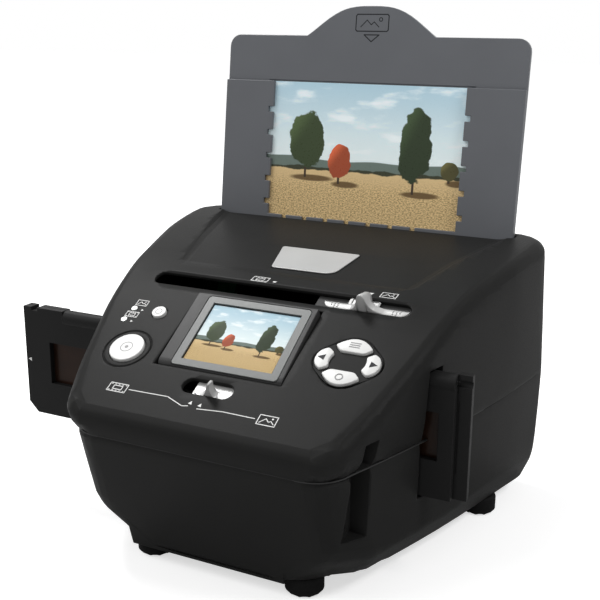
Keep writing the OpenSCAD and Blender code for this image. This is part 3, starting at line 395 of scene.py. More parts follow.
# Plastics, rubber and inks: colour, roughness, grains to the metre, their depth, what differs
MOULDED = {
    "case_plastic": ((0.0150, 0.0150, 0.0147), 0.43, 1700, 0.03, {"specular": 0.040}),
    "screen_plastic": ((0.040, 0.040, 0.040), 0.42, 1700, 0.012, {"specular": 0.12}),
    "tray_plastic": ((0.120, 0.126, 0.138), 0.40, 1500, 0.015, {"specular": 0.40}),
    "bezel_plastic": ((0.116, 0.121, 0.118), 0.42, 1500, 0.01, {"specular": 0.3}),
    "silver_plastic": ((0.43, 0.43, 0.425), 0.36, 1800, 0.01, {"metallic": 0.2}),
    "white_plastic": (
        (0.62, 0.62, 0.61), 0.36, 1500, 0.006, {"specular": 0.3, "variation": 0.02},
    ),
    "holder_plastic": ((0.013, 0.013, 0.013), 0.46, 1500, 0.02, {"specular": 0.07}),
    "inner_plastic": ((0.020, 0.020, 0.020), 0.60, 1200, 0.02, {"specular": 0.25}),
    "foot_rubber": ((0.008, 0.008, 0.008), 0.75, 900, 0.04, {"specular": 0.08}),
    "lamp_plastic": ((0.55, 0.58, 0.55), 0.20, 900, 0.004, {}),
    "diffuser_plastic": ((0.80, 0.80, 0.80), 0.60, 900, 0.01, {"variation": 0.02}),
    "chip_plastic": ((0.016, 0.016, 0.017), 0.50, 1500, 0.02, {}),
    "panel_ink": ((0.62, 0.62, 0.61), 0.5, 1800, 0.004, {"variation": 0.03}),
    "pale_ink": ((0.20, 0.20, 0.20), 0.5, 1800, 0.004, {"variation": 0.03}),
    "dark_ink": ((0.020, 0.021, 0.024), 0.5, 1800, 0.004, {"specular": 0.1, "variation": 0.03}),
}


# ---------------------------------------------------------------- pictures
#
# A picture is as high as 1: u runs across from its middle, and v up from its foot.

HORIZON = 0.36
LOW_SKY, HIGH_SKY, CLOUD = (0.66, 0.74, 0.74), (0.34, 0.49, 0.57), (0.80, 0.84, 0.84)
HILL, HEDGE = (0.115, 0.150, 0.130), (0.030, 0.034, 0.018)
SOIL, STRAW, FAR_STRAW = (0.26, 0.17, 0.075), (0.62, 0.46, 0.23), (0.56, 0.41, 0.21)
TREE_SHADOW, TRUNK = (0.12, 0.075, 0.030), (0.035, 0.022, 0.014)
TRUNK_HALF = 0.010
EDGE_SOFT = 0.004
SHADOW_ASIDE, SHADOW_REACH, SHADOW_HALF_H = 0.05, 1.2, 0.022
SHADOW_EDGE = (0.5, 1.3)
CROWN_RISE, CROWN_RAGGED = 1.25, 1.5
CROWN_EDGE = (1.62, 1.74)
LIT_LEAF = 2.2  # how much brighter the lit side of a tree is
LIT_EDGE = (0.2, 1.4)

# Round trees: place across, foot, half width, half height, colour
TREES = (
    (-0.42, 0.30, 0.135, 0.20, (0.030, 0.045, 0.018)),
    (-0.17, 0.27, 0.085, 0.115, (0.270, 0.055, 0.022)),
    (0.36, 0.24, 0.115, 0.25, (0.020, 0.032, 0.014)),
    (0.60, 0.33, 0.060, 0.060, (0.060, 0.055, 0.020)),
)


def paint_tree(art, colour, u, v, rough_edge, x, foot, half_w, half_h, leaf):
    """A picture's colour with a tree on it: its shadow, trunk and ragged crown."""
    shadow_u = art.over(art.minus(u, x + SHADOW_ASIDE), SHADOW_REACH * half_w)
    shadow_v = art.over(art.minus(v, foot - EDGE_SOFT), SHADOW_HALF_H)
    shadow = art.plus(art.square(shadow_u), art.square(shadow_v))
    colour = art.paint(colour, TREE_SHADOW, art.opposite(art.ramp(shadow, *SHADOW_EDGE)))
    trunk_u = art.ramp(art.size(art.minus(u, x)), TRUNK_HALF, TRUNK_HALF - EDGE_SOFT)
    trunk_foot = art.ramp(v, foot - EDGE_SOFT, foot)
    trunk_top = art.ramp(v, foot + half_h, foot + 0.9 * half_h)
    colour = art.paint(colour, TRUNK, art.times(trunk_u, art.times(trunk_foot, trunk_top)))
    du = art.over(art.minus(u, x), half_w)
    dv = art.over(art.minus(v, foot + CROWN_RISE * half_h), half_h)
    oval = art.plus(art.square(du), art.square(dv))
    ragged = art.plus(oval, art.times(rough_edge, CROWN_RAGGED))
    lit_side = art.ramp(art.minus(dv, du), *LIT_EDGE)
    foliage = art.paint(leaf, scaled(leaf, LIT_LEAF), lit_side)
    return art.paint(colour, foliage, art.opposite(art.ramp(ragged, *CROWN_EDGE)))


def scenery(name, face, centre, width, height, roughness, specular, light, border=None):
    """A plain landscape: pale sky, far hills, a field of stubble and a few round trees.

    centre, width and height are in the millimetres of the face.
    """
    art = Material(name)
    where = art.object_space()
    middle = face @ Vector(centre)
    u = art.along(where, middle, direction(face, ACROSS), height * MM)
    v = art.plus(art.along(where, middle, direction(face, UP), height * MM), 0.5)
    spot = art.vector(u, v)
    rough_edge = art.noise(spot, 9, 4)

    veil = art.noise(art.vector(u, art.times(v, 3.0)), 3.2, 5)
    colour = art.paint(LOW_SKY, HIGH_SKY, art.ramp(v, HORIZON, 1.0))
    colour = art.paint(colour, CLOUD, art.times(art.ramp(veil, 0.50, 0.72), 0.75))

    hill_top = art.plus(HORIZON + 0.02, art.times(art.noise(spot, 1.7, 1), 0.09))
    hills = art.ramp(art.minus(hill_top, v), -EDGE_SOFT, EDGE_SOFT)
    colour = art.paint(colour, HILL, hills)

    straw = art.noise(art.vector(art.times(u, 2.0), art.times(v, 4.0)), 38, 8)
    field = art.paint(SOIL, STRAW, art.ramp(straw, 0.34, 0.62))
    field = art.paint(field, FAR_STRAW, art.ramp(v, HORIZON - 0.16, HORIZON))
    colour = art.paint(colour, field, art.ramp(art.minus(HORIZON, v), -0.003, 0.003))

    hedge = art.minus(art.times(rough_edge, 0.045), art.size(art.minus(v, HORIZON)))
    colour = art.paint(colour, HEDGE, art.ramp(hedge, 0.008, 0.016))
    for tree in TREES:
        colour = paint_tree(art, colour, u, v, rough_edge, *tree)

    if border is not None:
        half = width / height / 2
        inside_u = art.ramp(art.size(u), half, half - EDGE_SOFT)
        inside_v = art.ramp(art.size(art.minus(v, 0.5)), 0.5, 0.5 - EDGE_SOFT)
        colour = art.paint(border, colour, art.times(inside_u, inside_v))
    # The colour is multiplied by light; above 1, as on the print, this is painted light that lifts
    # some colours beyond white
    return art.shade({
        "Base Color": art.dim(colour, light),
        "Roughness": art.spread(art.noise(where, 900, 2), roughness, 0.04),
        "Specular IOR Level": specular,
    })


PRINT_CENTRE = (0, 42.5, -2.3)
PRINT_SIZE = (119.4, 88.0)
LCD_CENTRE = (2.3, 19.8, 3.3)
LCD_SIZE = (48.2, 36.0)
LCD_BORDER = (0.004, 0.004, 0.005)

MATERIALS = {name: moulded(name, *row, **extras) for name, (*row, extras) in MOULDED.items()}
MATERIALS.update({
    "steel": brushed("steel", (0.52, 0.53, 0.54), 0.30, "X"),
    "lens_metal": brushed("lens_metal", (0.020, 0.020, 0.022), 0.38, "Y", metallic=0.6),
    "ring_metal": brushed("ring_metal", (0.60, 0.60, 0.61), 0.28, "Y"),
    "lens_glass": lens_glass(),
    "board": circuit_board(),
    "film": film_in_shade(),
    # The print's colours times 1.52: painted light, brighter than any paper
    "print_paper": scenery("print_paper", TRAY, PRINT_CENTRE, *PRINT_SIZE, 0.30, 0.25, 1.52),
    "screen_glass": scenery(
        "screen_glass", SCREEN, LCD_CENTRE, *LCD_SIZE, 0.16, 0.03, 1.0, LCD_BORDER,
    ),
})


# ---------------------------------------------------------------- outlines and meshes

def arc(x, y, r, start, end, steps):
    """Points of a circle from one angle to another one, in degrees."""
    angles = [math.radians(start + (end - start) * i / steps) for i in range(steps + 1)]
    return [(x + r * math.cos(a), y + r * math.sin(a)) for a in angles]


def moved(outline, at):
    return [(x + at[0], y + at[1]) for x, y in outline]


def anticlockwise(outline):
    area = sum(a[0] * b[1] - b[0] * a[1] for a, b in zip(outline, outline[1:] + outline[:1]))
    return outline if area > 0 else outline[::-1]


def corners_of(outline):
    """Each point of a closed outline, between the one before it and the one after it."""
    points = [Vector(point) for point in outline]
    return zip(points[-1:] + points[:-1], points, points[1:] + points[:1])


CORNER_STEPS = 4


def rounded(outline, radius):
    """A closed outline with its corners cut by curves of at most the radius."""
    points = []
    for before, at, after in corners_of(outline):
        to_before, to_after = before - at, after - at
        reach = min(radius, 0.45 * to_before.length, 0.45 * to_after.length)
        a, b = at + to_before.normalized() * reach, at + to_after.normalized() * reach
        for t in (k / CORNER_STEPS for k in range(CORNER_STEPS + 1)):
            points.append(tuple((1 - t) ** 2 * a + 2 * t * (1 - t) * at + t * t * b))
    return points


def inset(outline, distance):
    """An outline moved inwards; its points run anticlockwise."""
    points = []
    for before, at, after in corners_of(outline):
        n0 = Vector((-(at - before).y, (at - before).x)).normalized()
        n1 = Vector((-(after - at).y, (after - at).x)).normalized()
        out = (n0 + n1) / max(0.5, (n0 + n1).length_squared / 2)
        points.append(tuple(at + out * distance))
    return points


def smooth_step(t):
    t = min(1.0, max(0.0, t))
    return t * t * (3 - 2 * t)


def table_value(table, x, ease=lambda t: t):
    """The value at x in a table of (x, value), with an easing between its rows."""
    for (x0, v0), (x1, v1) in zip(table, table[1:]):
        if x <= x1:
            return v0 + (v1 - v0) * ease(max(0.0, (x - x0) / (x1 - x0)))
    return table[-1][1]


def new_loop(bm, face, points):
    """Vertices at points that are given in the millimetres of a face."""
    return [bm.verts.new(face @ Vector(point)) for point in points]


def bridge(bm, lower, upper):
    """A band of faces between two closed loops."""
    for i in range(len(lower)):
        j = (i + 1) % len(lower)
        bm.faces.new((lower[i], lower[j], upper[j], upper[i]))


SMOOTH_UP_TO = math.radians(34)


def to_mesh(bm, name, smooth_to=SMOOTH_UP_TO):
    """A mesh that is smooth up to an angle, or flat where that is None."""
    mesh = bpy.data.meshes.new(name)
    bm.to_mesh(mesh)
    bm.free()
    if smooth_to is not None:
        for face in mesh.polygons:
            face.use_smooth = True
        mesh.set_sharp_from_angle(angle=smooth_to)
    return mesh


def add_piece(name, mesh, node, material=None, replaced=False):
    """A piece on the body of a CAD node, in the node's place or beside it."""
    slot = material or SLOT_OF[node]
    piece = place(name, mesh)
    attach(piece, BODY_OF[node])
    if replaced:
        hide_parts(node)
    mesh.materials.clear()
    mesh.materials.append(MATERIALS[slot])
    return piece


def add_form(bm, node, smooth_to=SMOOTH_UP_TO):
    """A form that stands for a CAD node."""
    bmesh.ops.recalc_face_normals(bm, faces=bm.faces)
    name = node + "_form"
    return add_piece(name, to_mesh(bm, name, smooth_to), node, replaced=True)


# ---------------------------------------------------------------- CAD shapes with rounded edges

WELD = 0.02 * MM
SAME_PLANE = math.radians(0.6)
SHARP_FROM = math.radians(48)
ALONG_NORMAL = 0.98
EDGE_SEGMENTS, CORNER_SEGMENTS = 2, 5


def round_edges(bm, width, segments, chosen=lambda edge: True):
    """Rounds the sharp edges of a mesh, or those of them that are chosen."""
    bmesh.ops.remove_doubles(bm, verts=bm.verts, dist=WELD)
    bmesh.ops.dissolve_limit(bm, angle_limit=SAME_PLANE, verts=bm.verts, edges=bm.edges)
    edges = [
        edge for edge in bm.edges
        if len(edge.link_faces) == 2 and edge.calc_face_angle() > SHARP_FROM and chosen(edge)
    ]
    bmesh.ops.bevel(
        bm, geom=edges, offset=width, offset_type="OFFSET", segments=segments, profile=0.5,
        affect="EDGES", clamp_overlap=False, loop_slide=True,
    )


def round_corners(bm, radius):
    """Rounds a plate's corners, which are its edges square to its largest face."""
    upright = max(bm.faces, key=lambda face: face.calc_area()).normal.copy()

    def is_corner(edge):
        along = (edge.verts[1].co - edge.verts[0].co).normalized()
        return abs(along.dot(upright)) > ALONG_NORMAL

    round_edges(bm, radius, CORNER_SEGMENTS, is_corner)


def dressed(node, width, corner=0.0, skin=None, solid=None, keep_top=False):
    """A copy of a CAD node's shape with its edges, and its corners, rounded by so many mm."""
    bm = bmesh.new()
    bm.from_mesh(NODES[node].data)
    if skin and not solid:
        solid = skin_of([vert.co / MM for vert in bm.verts])
    if corner:
        round_corners(bm, corner * MM)
    round_edges(bm, width * MM, EDGE_SEGMENTS)
    if skin:
        fit_to_skin(bm, solid, skin, keep_top)
    name = node + "_form"
    piece = add_piece(name, to_mesh(bm, name), node, replaced=True)
    even = piece.modifiers.new("even_normals", "WEIGHTED_NORMAL")
    even.keep_sharp = True
    even.weight = 100


# ---------------------------------------------------------------- the smooth skin of the case
#
# The case solids are hulls of a few sections. The skin is the same shape from many sections,
# and each vertex near a solid's outside moves onto it. All in millimetres.

CASE_DEPTH = 202.0
PANEL_RUN = 86.0
SEAM_Z = 72.0
FRONT_HALF_W, REAR_HALF_W = 69.5, 115.0
FRONT_R, REAR_R = 19.0, 16.0
CORNER_A = 15.0
CORNER_TURN = math.radians(CORNER_A)
SIDE_BULGE = 5.0
FLARE_FRONT, FLARE_REAR = 5.5, -4.5
SIDE_Y0 = FRONT_R * (1 - math.sin(CORNER_TURN))
SIDE_Y1 = CASE_DEPTH - REAR_R
TOP_FRONT, TOP_REAR = math.tan(math.radians(13.5)), math.tan(math.radians(1.7))
PANEL_RISE = math.tan(math.radians(PANEL_TILT))
CREST_BLEND = 27.0
SLOPE_STEP = 0.1

# The top edge is the hull of balls, whose centres turn round the case's corners at these radii
EDGE_R = 7.0
RIDGE_FRONT, RIDGE_FRONT_R, RIDGE_REAR_R = 5.0, 6.0, 13.5
RIDGE_STEPS, RIDGE_FRONT_STEPS, RIDGE_REAR_STEPS = 36, 10, 9
BALL_LOW, BALL_HIGH, BALL_ROWS, BALL_SEGMENTS = -30, 90, 8, 24

# How far the rounded top edge stands outside the solid's one: place from front to back, distance
EDGE_OUT = (
    (5, 0.1), (30, 1.4), (60, 1.1), (90, -0.1), (120, -0.9), (150, 1.2), (178, 1.3), (202, 1.3),
)

# Sections of the lower case: height, pull-in at front and back, front, back, front corner radius
TUB = (
    (72, -1.6, 1.8, 0, 202, 18), (70, -1.6, 1.8, 0, 202, 18), (52, -1.0, 1.9, 5.6, 201.2, 16),
    (34, -0.5, 2.2, 11.6, 200, 14), (29, -0.3, 2.4, 13.0, 199.6, 16),
    (25, 0.7, 2.8, 14.2, 199, 19), (22, 3.0, 3.2, 15.1, 198.5, 25),
    (19.5, 6.6, 3.8, 15.8, 198, 30), (16, 9.5, 4.9, 16.8, 197, 30),
    (12.5, 12.0, 6.4, 17.9, 195.4, 28), (10, 13.6, 8.0, 18.6, 193.5, 26),
)
SOLID_TUB = (
    (72, 0, 0, 0, 202, 19), (70, 0, 0, 0, 202, 19), (34, -0.5, 0.5, 11.6, 200, 14),
    (25, 0.5, 1.2, 14.2, 199, 18), (20, 7, 2.5, 15.7, 198, 34), (10, 13, 6.5, 18.6, 194, 26),
)
SOLID_STEPS = (5, 0.16)  # the solid's own corner steps and side step


def side_part(y):
    return (y - SIDE_Y0) / (SIDE_Y1 - SIDE_Y0)


def side_x(y):
    t = side_part(y)
    return FRONT_HALF_W + (REAR_HALF_W - FRONT_HALF_W) * t + 4 * SIDE_BULGE * t * (1 - t)


def top_z(y):
    """The side profile of the solids' top."""
    if y <= PANEL_RUN:
        return PANEL_Z + y * PANEL_RISE
    d = y - PANEL_RUN
    fall = (TOP_FRONT - TOP_REAR) / (2 * (CASE_DEPTH - PANEL_RUN))
    return PANEL_Z + PANEL_RUN * PANEL_RISE + d * TOP_FRONT - fall * d * d


def slope_of(profile, y):
    return (profile(y + SLOPE_STEP) - profile(y - SLOPE_STEP)) / (2 * SLOPE_STEP)


def crest_z(y):
    """The same profile with the corner behind the panel drawn out to a cubic curve."""
    if abs(y - PANEL_RUN) >= CREST_BLEND:
        return top_z(y)
    y0, y1 = PANEL_RUN - CREST_BLEND, PANEL_RUN + CREST_BLEND
    span = y1 - y0
    t = (y - y0) / span
    end_slope = slope_of(top_z, y1)
    return (
        (2 * t ** 3 - 3 * t ** 2 + 1) * top_z(y0)
        + (t ** 3 - 2 * t ** 2 + t) * span * PANEL_RISE
        + (-2 * t ** 3 + 3 * t ** 2) * top_z(y1)
        + (t ** 3 - t ** 2) * span * end_slope
    )


def section(z, in_front, in_rear, y0, y1, r0, corner_steps=15, side_step=0.033):
    """One level outline of the case: a point at the left and one at the right in turn."""
    x0 = FRONT_HALF_W - in_front - r0 * math.cos(CORNER_TURN)
    points = arc(x0, y0 + r0, r0, -90, -CORNER_A, corner_steps)
    start = y0 + r0 * (1 - math.sin(CORNER_TURN))
    for i in range(1, int(1 / side_step) + 1):
        y = start + (y1 - REAR_R - start) * i * side_step
        t = side_part(y)
        points.append((side_x(y) - in_front * (1 - t) - in_rear * t, y))
    points += arc(REAR_HALF_W - in_rear - REAR_R, y1 - REAR_R, REAR_R, 0, 90, corner_steps)
    return [(side * x, y, z) for x, y in points for side in (-1, 1)]


def ridge():
    """Centres of the top edge's balls, from above."""
    start = RIDGE_FRONT + RIDGE_FRONT_R * (1 - math.sin(CORNER_TURN))
    edge = []
    for i in range(RIDGE_STEPS + 1):
        y = start + (CASE_DEPTH - EDGE_R - RIDGE_REAR_R - start) * i / RIDGE_STEPS
        flare = FLARE_FRONT + (FLARE_REAR - FLARE_FRONT) * side_part(y)
        edge.append((side_x(y) + flare + table_value(EDGE_OUT, y, smooth_step) - EDGE_R, y))
    x0, (x1, y1) = edge[0][0] - RIDGE_FRONT_R * math.cos(CORNER_TURN), edge[-1]
    front = arc(
        x0, RIDGE_FRONT + RIDGE_FRONT_R, RIDGE_FRONT_R, -90, -CORNER_A, RIDGE_FRONT_STEPS,
    )
    rear = arc(x1 - RIDGE_REAR_R, y1, RIDGE_REAR_R, 0, 90, RIDGE_REAR_STEPS)
    return front[:-1] + edge + rear[1:]


def skin_of(points):
    """A search tree of the convex skin round points in millimetres."""
    bm = bmesh.new()
    for point in points:
        bm.verts.new(Vector(point) * MM)
    result = bmesh.ops.convex_hull(bm, input=bm.verts)
    loose = {item for item in result["geom_interior"] if isinstance(item, bmesh.types.BMVert)}
    bmesh.ops.delete(bm, geom=list(loose), context="VERTS")
    bmesh.ops.triangulate(bm, faces=bm.faces)
    tree = BVHTree.FromBMesh(bm)
    bm.free()
    return tree


def upper_skin():
    points = section(SEAM_Z, *TUB[0][1:]) + section(SEAM_Z + 2, *TUB[0][1:])
    for x, y in ridge():
        z = crest_z(y) - EDGE_R / math.cos(math.atan(slope_of(crest_z, y)))
        for out, up in arc(0, 0, EDGE_R, BALL_LOW, BALL_HIGH, BALL_ROWS):
            for dx, dy in arc(0, 0, out, 0, 360, BALL_SEGMENTS)[:-1]:
                points += [(side * (x + dx), y + dy, z + up) for side in (-1, 1)]
    return skin_of(points)


def lower_skin():
    return skin_of([point for row in TUB for point in section(*row)])


def lower_solid():
    return skin_of([point for row in SOLID_TUB for point in section(*row, *SOLID_STEPS)])


GRID = 5 * MM
ON_SKIN = 0.06 * MM
# A vertex moves in full down to the first depth under the solid's hull, and not below the second
SKIN_SHALLOW, SKIN_DEEP = 1.0 * MM, 2.3 * MM
# The flat of the top stays: faces that look up, between these distances from the middle
FLAT_TO, FREE_FROM = 62 * MM, 86 * MM
SIDEWAYS, UPWARDS = 0.5, 0.8


def share_between(low, high, value):
    """0 below low, 1 above high, smooth between them."""
    return smooth_step((value - low) / (high - low))


def cut_outside(bm, solid):
    """Cuts the faces that lie on the solid's hull along a grid."""
    low = [min(vert.co[i] for vert in bm.verts) for i in range(3)]
    high = [max(vert.co[i] for vert in bm.verts) for i in range(3)]
    for axis in range(3):
        normal = Vector([1.0 if i == axis else 0.0 for i in range(3)])
        for k in range(1, int((high[axis] - low[axis]) / GRID) + 1):
            at = normal * (low[axis] + k * GRID)
            faces = [
                face for face in bm.faces
                if min(v.co[axis] for v in face.verts) < at[axis]
                and max(v.co[axis] for v in face.verts) > at[axis]
                and all(solid.find_nearest(v.co)[3] < ON_SKIN for v in face.verts)
            ]
            edges = {edge for face in faces for edge in face.edges}
            verts = {vert for face in faces for vert in face.verts}
            if faces:
                bmesh.ops.bisect_plane(
                    bm, geom=list(verts) + list(edges) + faces, dist=MICRON,
                    plane_co=at, plane_no=normal,
                )


def fit_to_skin(bm, solid, skin, keep_top):
    """Moves the outside of a shape from the solid's hull to the skin."""
    cut_outside(bm, solid)
    for vert in bm.verts:
        near, normal, _, depth = solid.find_nearest(vert.co)
        if depth > SKIN_DEEP:
            continue
        share = 1 - share_between(SKIN_SHALLOW, SKIN_DEEP, depth)
        if keep_top:
            inner = 1 - share_between(FLAT_TO, FREE_FROM, abs(near.x))
            share *= 1 - share_between(SIDEWAYS, UPWARDS, normal.z) * inner
        vert.co += (skin.find_nearest(near)[0] - near) * share


# Half the height of the band of painted shade in the seam, and how far in its front and its back
# are
SEAM_HALF, SEAM_DEEP, SEAM_BACK = 0.33, 0.14, 1.2


def seam_shade_band():
    """Painted shade deep in the groove between the two shells: a thin dark band round the case."""
    outline = [(x, y) for x, y, _ in section(SEAM_Z, *TUB[0][1:])]
    loop = anticlockwise(outline[0::2] + outline[1::2][::-1])
    bm = bmesh.new()
    loops = []
    for depth, z in (
        (SEAM_DEEP, -SEAM_HALF), (SEAM_DEEP, SEAM_HALF),
        (SEAM_BACK, SEAM_HALF), (SEAM_BACK, -SEAM_HALF),
    ):
        loops.append([
            bm.verts.new(Vector((x, y, SEAM_Z + z)) * MM) for x, y in inset(loop, depth)
        ])
    for first, second in zip(loops, loops[1:] + loops[:1]):
        bridge(bm, first, second)
    bmesh.ops.recalc_face_normals(bm, faces=bm.faces)
    add_piece("seam_shade_band", to_mesh(bm, "seam_shade_band"), "upper_case", "inner_plastic")


# ---------------------------------------------------------------- keys and the light's knob

def below_cut(node, height):
    """A CAD node's mesh without what stands above a height over the panel."""
    bm = bmesh.new()
    bm.from_mesh(NODES[node].data)
    bmesh.ops.bisect_plane(
        bm, geom=list(bm.verts) + list(bm.edges) + list(bm.faces), dist=MICRON,
        plane_co=PANEL @ Vector((0, 0, height)), plane_no=direction(PANEL, OUT), clear_outer=True,
    )
    bmesh.ops.holes_fill(bm, edges=[edge for edge in bm.edges if edge.is_boundary])
    return bm


KEYS_AT = (55.4, 53.5)
KEY_LOW, KEY_TOP = -3.0, 1.2
KEY_CORNER_R, KEY_EDGE_R, KEY_CROWN = 1.3, 0.5, 0.15
KEY_EDGE_TURNS = (0.4, 0.8, 1.2, math.pi / 2)
LONG_KEY = [
    (-9.4, 9.2), (-6.0, 5.9), (6.0, 5.9), (9.4, 9.2), (6.2, 12.2), (3.2, 14.0), (0, 14.6),
    (-3.2, 14.0), (-6.2, 12.2),
]
SIDE_KEY = [
    (8.0, 4.2), (9.0, 1.6), (9.0, -1.6), (8.0, -4.2), (11.6, -6.9), (14.6, -4.8), (16.0, -1.8),
    (16.0, 1.8), (14.6, 4.8), (11.6, 6.9),
]
KEY_OUTLINES = {
    "up_key": LONG_KEY,
    "down_key": [(x, -y) for x, y in reversed(LONG_KEY)],
    "right_key": SIDE_KEY[::-1],
    "left_key": [(-x, y) for x, y in SIDE_KEY],
}

# The plate between the keys, in their shallow well: its upper half from right to left
BEZEL_LOW, BEZEL_TOP = -0.72, -0.12
BEZEL_CORNER_R, BEZEL_GAP = 1.5, 0.35
BEZEL_HALF = [
    (16.6, 2.6), (14.6, 6.4), (9.2, 11.0), (5.2, 13.9), (0, 15.4), (-5.2, 13.9), (-9.2, 11.0),
    (-14.6, 6.4), (-16.6, 2.6),
]


def key_outline(name):
    return rounded(anticlockwise(moved(KEY_OUTLINES[name], KEYS_AT)), KEY_CORNER_R)


def cap(bm, outline, low, high):
    """A solid key on an outline, with a rounded upper edge and a slightly crowned top."""
    rings = [(0, low), (0, high - KEY_EDGE_R)]
    for turn in KEY_EDGE_TURNS:
        rings.append((
            KEY_EDGE_R * (1 - math.cos(turn)), high - KEY_EDGE_R + KEY_EDGE_R * math.sin(turn),
        ))
    loops = [
        new_loop(bm, PANEL, [(x, y, height) for x, y in inset(outline, step_in)])
        for step_in, height in rings
    ]
    for lower, upper in zip(loops, loops[1:]):
        bridge(bm, lower, upper)
    x, y = (sum(point[i] for point in outline) / len(outline) for i in range(2))
    top, = new_loop(bm, PANEL, [(x, y, high + KEY_CROWN)])
    last = loops[-1]
    for first, second in zip(last, last[1:] + last[:1]):
        bm.faces.new((first, second, top))
    bm.faces.new(loops[0][::-1])


def make_keys():
    for name in KEY_OUTLINES:
        bm = below_cut(name, KEY_LOW)
        cap(bm, key_outline(name), KEY_LOW, KEY_TOP)
        add_form(bm, name)


def key_bezel():
    """A filled curve, with a hole for each key."""
    outer = anticlockwise(BEZEL_HALF + [(x, -y) for x, y in reversed(BEZEL_HALF)])
    outer = rounded(moved(outer, KEYS_AT), BEZEL_CORNER_R)
    curve = bpy.data.curves.new("key_bezel", "CURVE")
    curve.dimensions = "2D"
    curve.fill_mode = "BOTH"
    curve.extrude = (BEZEL_TOP - BEZEL_LOW) / 2
    for outline in [outer] + [inset(key_outline(name), -BEZEL_GAP) for name in KEY_OUTLINES]:
        spline = curve.splines.new("POLY")
        spline.points.add(len(outline) - 1)
        spline.use_cyclic_u = True
        for point, (x, y) in zip(spline.points, outline):
            point.co = (x, y, 0, 1)
    blank = bpy.data.objects.new("key_bezel_blank", curve)
    mesh = bpy.data.meshes.new_from_object(blank)
    bpy.data.objects.remove(blank)
    bpy.data.curves.remove(curve)
    mesh.transform(PANEL @ Matrix.Translation((0, 0, (BEZEL_TOP + BEZEL_LOW) / 2)))
    bm = bmesh.new()
    bm.from_mesh(mesh)
    bpy.data.meshes.remove(mesh)
    bmesh.ops.remove_doubles(bm, verts=bm.verts, dist=MICRON)
    bmesh.ops.recalc_face_normals(bm, faces=bm.faces)
    add_piece("key_bezel", to_mesh(bm, "key_bezel"), "upper_case")


# The knob: a flat strip with round ends in the long slot, and an upright fin with concave ramps
KNOB = "light_slider_knob"
KNOB_AT = (50, 91.9)
KNOB_LOW, KNOB_CUT = -3.0, -0.7
STRIP_LENGTH, STRIP_END_R = 44, 4.2
STRIP_FRONT, STRIP_BACK, STRIP_THIN = -4.2, -0.2, 0.05
STRIP_EDGE_R, EDGE_HALFWAY = 0.6, 0.29
STRIP_STEPS = 180
FIN_BACK = 4.6  # where it is high, the fin reaches back to here
FIN_BACK_HEIGHT = 0.5  # and is there only this share of its height
FIN_FROM, FIN_FULL = 4.0, 9.5
RAMP_REACH = 0.5
KNOB_SMOOTH_UP_TO = math.radians(50)

# Height of the knob along its length
KNOB_HEIGHTS = (
    (-22, -0.6), (-9.5, -0.6), (-7.4, -0.3), (-5.6, 0.6), (-4.3, 2.2), (-3.4, 4.6), (-2.6, 7.6),
    (-1.9, 9.2), (-1.0, 9.8), (0.3, 9.8), (1.0, 9.2), (1.6, 7.4), (2.3, 5.0), (3.3, 2.9),
    (4.8, 1.3), (7.0, 0.2), (9.5, -0.5), (11, -0.6), (22, -0.6),
)


def knob_height(x):
    """The table's height, averaged over a little reach."""
    return sum(table_value(KNOB_HEIGHTS, x + k * RAMP_REACH / 4) for k in range(-4, 5)) / 9


def knob_section(x):
    """The knob's outline across its length, from the front foot over the top to the back."""
    over = max(0.0, abs(x) - (STRIP_LENGTH / 2 - STRIP_END_R))
    half = math.sqrt(max(0.0, STRIP_END_R ** 2 - over ** 2))
    v0 = max(STRIP_FRONT, -half)
    v1 = max(STRIP_BACK, v0 + STRIP_THIN)
    flat = KNOB_HEIGHTS[0][1]
    h0 = knob_height(x)
    rise = share_between(FIN_FROM, FIN_FULL, h0 - flat)
    h1 = h0 + (flat + (h0 - flat) * FIN_BACK_HEIGHT - h0) * rise
    e = min(STRIP_EDGE_R, (v1 - v0) / 3)
    v1 += (FIN_BACK - v1) * rise
    f = EDGE_HALFWAY * e
    return [
        (v0, KNOB_LOW), (v0, h0 - e), (v0 + f, h0 - f), (v0 + e, h0),
        (v1 - e, h1 + (h0 - h1) * e / max(0.5, v1 - v0)), (v1 - f, h1 - f),
        (v1, h1 - e), (v1, min(KNOB_LOW, h1 - e)),
    ]


def light_knob():
    bm = below_cut(KNOB, KNOB_CUT)
    loops = []
    for i in range(STRIP_STEPS + 1):
        x = -STRIP_LENGTH / 2 + STRIP_LENGTH * i / STRIP_STEPS
        loops.append(new_loop(
            bm, PANEL, [(KNOB_AT[0] + x, KNOB_AT[1] + v, h) for v, h in knob_section(x)],
        ))
    for first, second in zip(loops, loops[1:]):
        bridge(bm, first, second)
    bm.faces.new(loops[0])
    bm.faces.new(loops[-1][::-1])
    add_form(bm, KNOB, KNOB_SMOOTH_UP_TO)


# ---------------------------------------------------------------- marks

INK = 0.03
KEY_INK = 0.16  # on a crowned key
LINE = 0.42
THIN_LINE = 0.34
# Widths of lines sunk into a plate, drawn in dark ink as painted shade in their grooves
GROOVE_SHADE_LINE, THIN_GROOVE_SHADE_LINE = 0.6, 0.5
ARROW = 1.25
LINE_OVERLAP = 0.4
DROP_FROM, DROP_REACH = 20 * MM, 60 * MM


def surface_of(node):
    """Search tree of the piece that stands for a node, or of the node itself."""
    bm = bmesh.new()
    form = bpy.data.objects.get(node + "_form")
    bm.from_mesh(form.data if form else NODES[node].data)
    tree = BVHTree.FromBMesh(bm)
    bm.free()
    return tree


def drop(tree, face, x, y):
    """The point of a surface over (x, y) of a face, or that place on the face itself."""
    at = face @ Vector((x, y, 0))
    outward = direction(face, OUT)
    hit = tree.ray_cast(at + outward * DROP_FROM, -outward, DROP_REACH)[0]
    return at if hit is None else hit


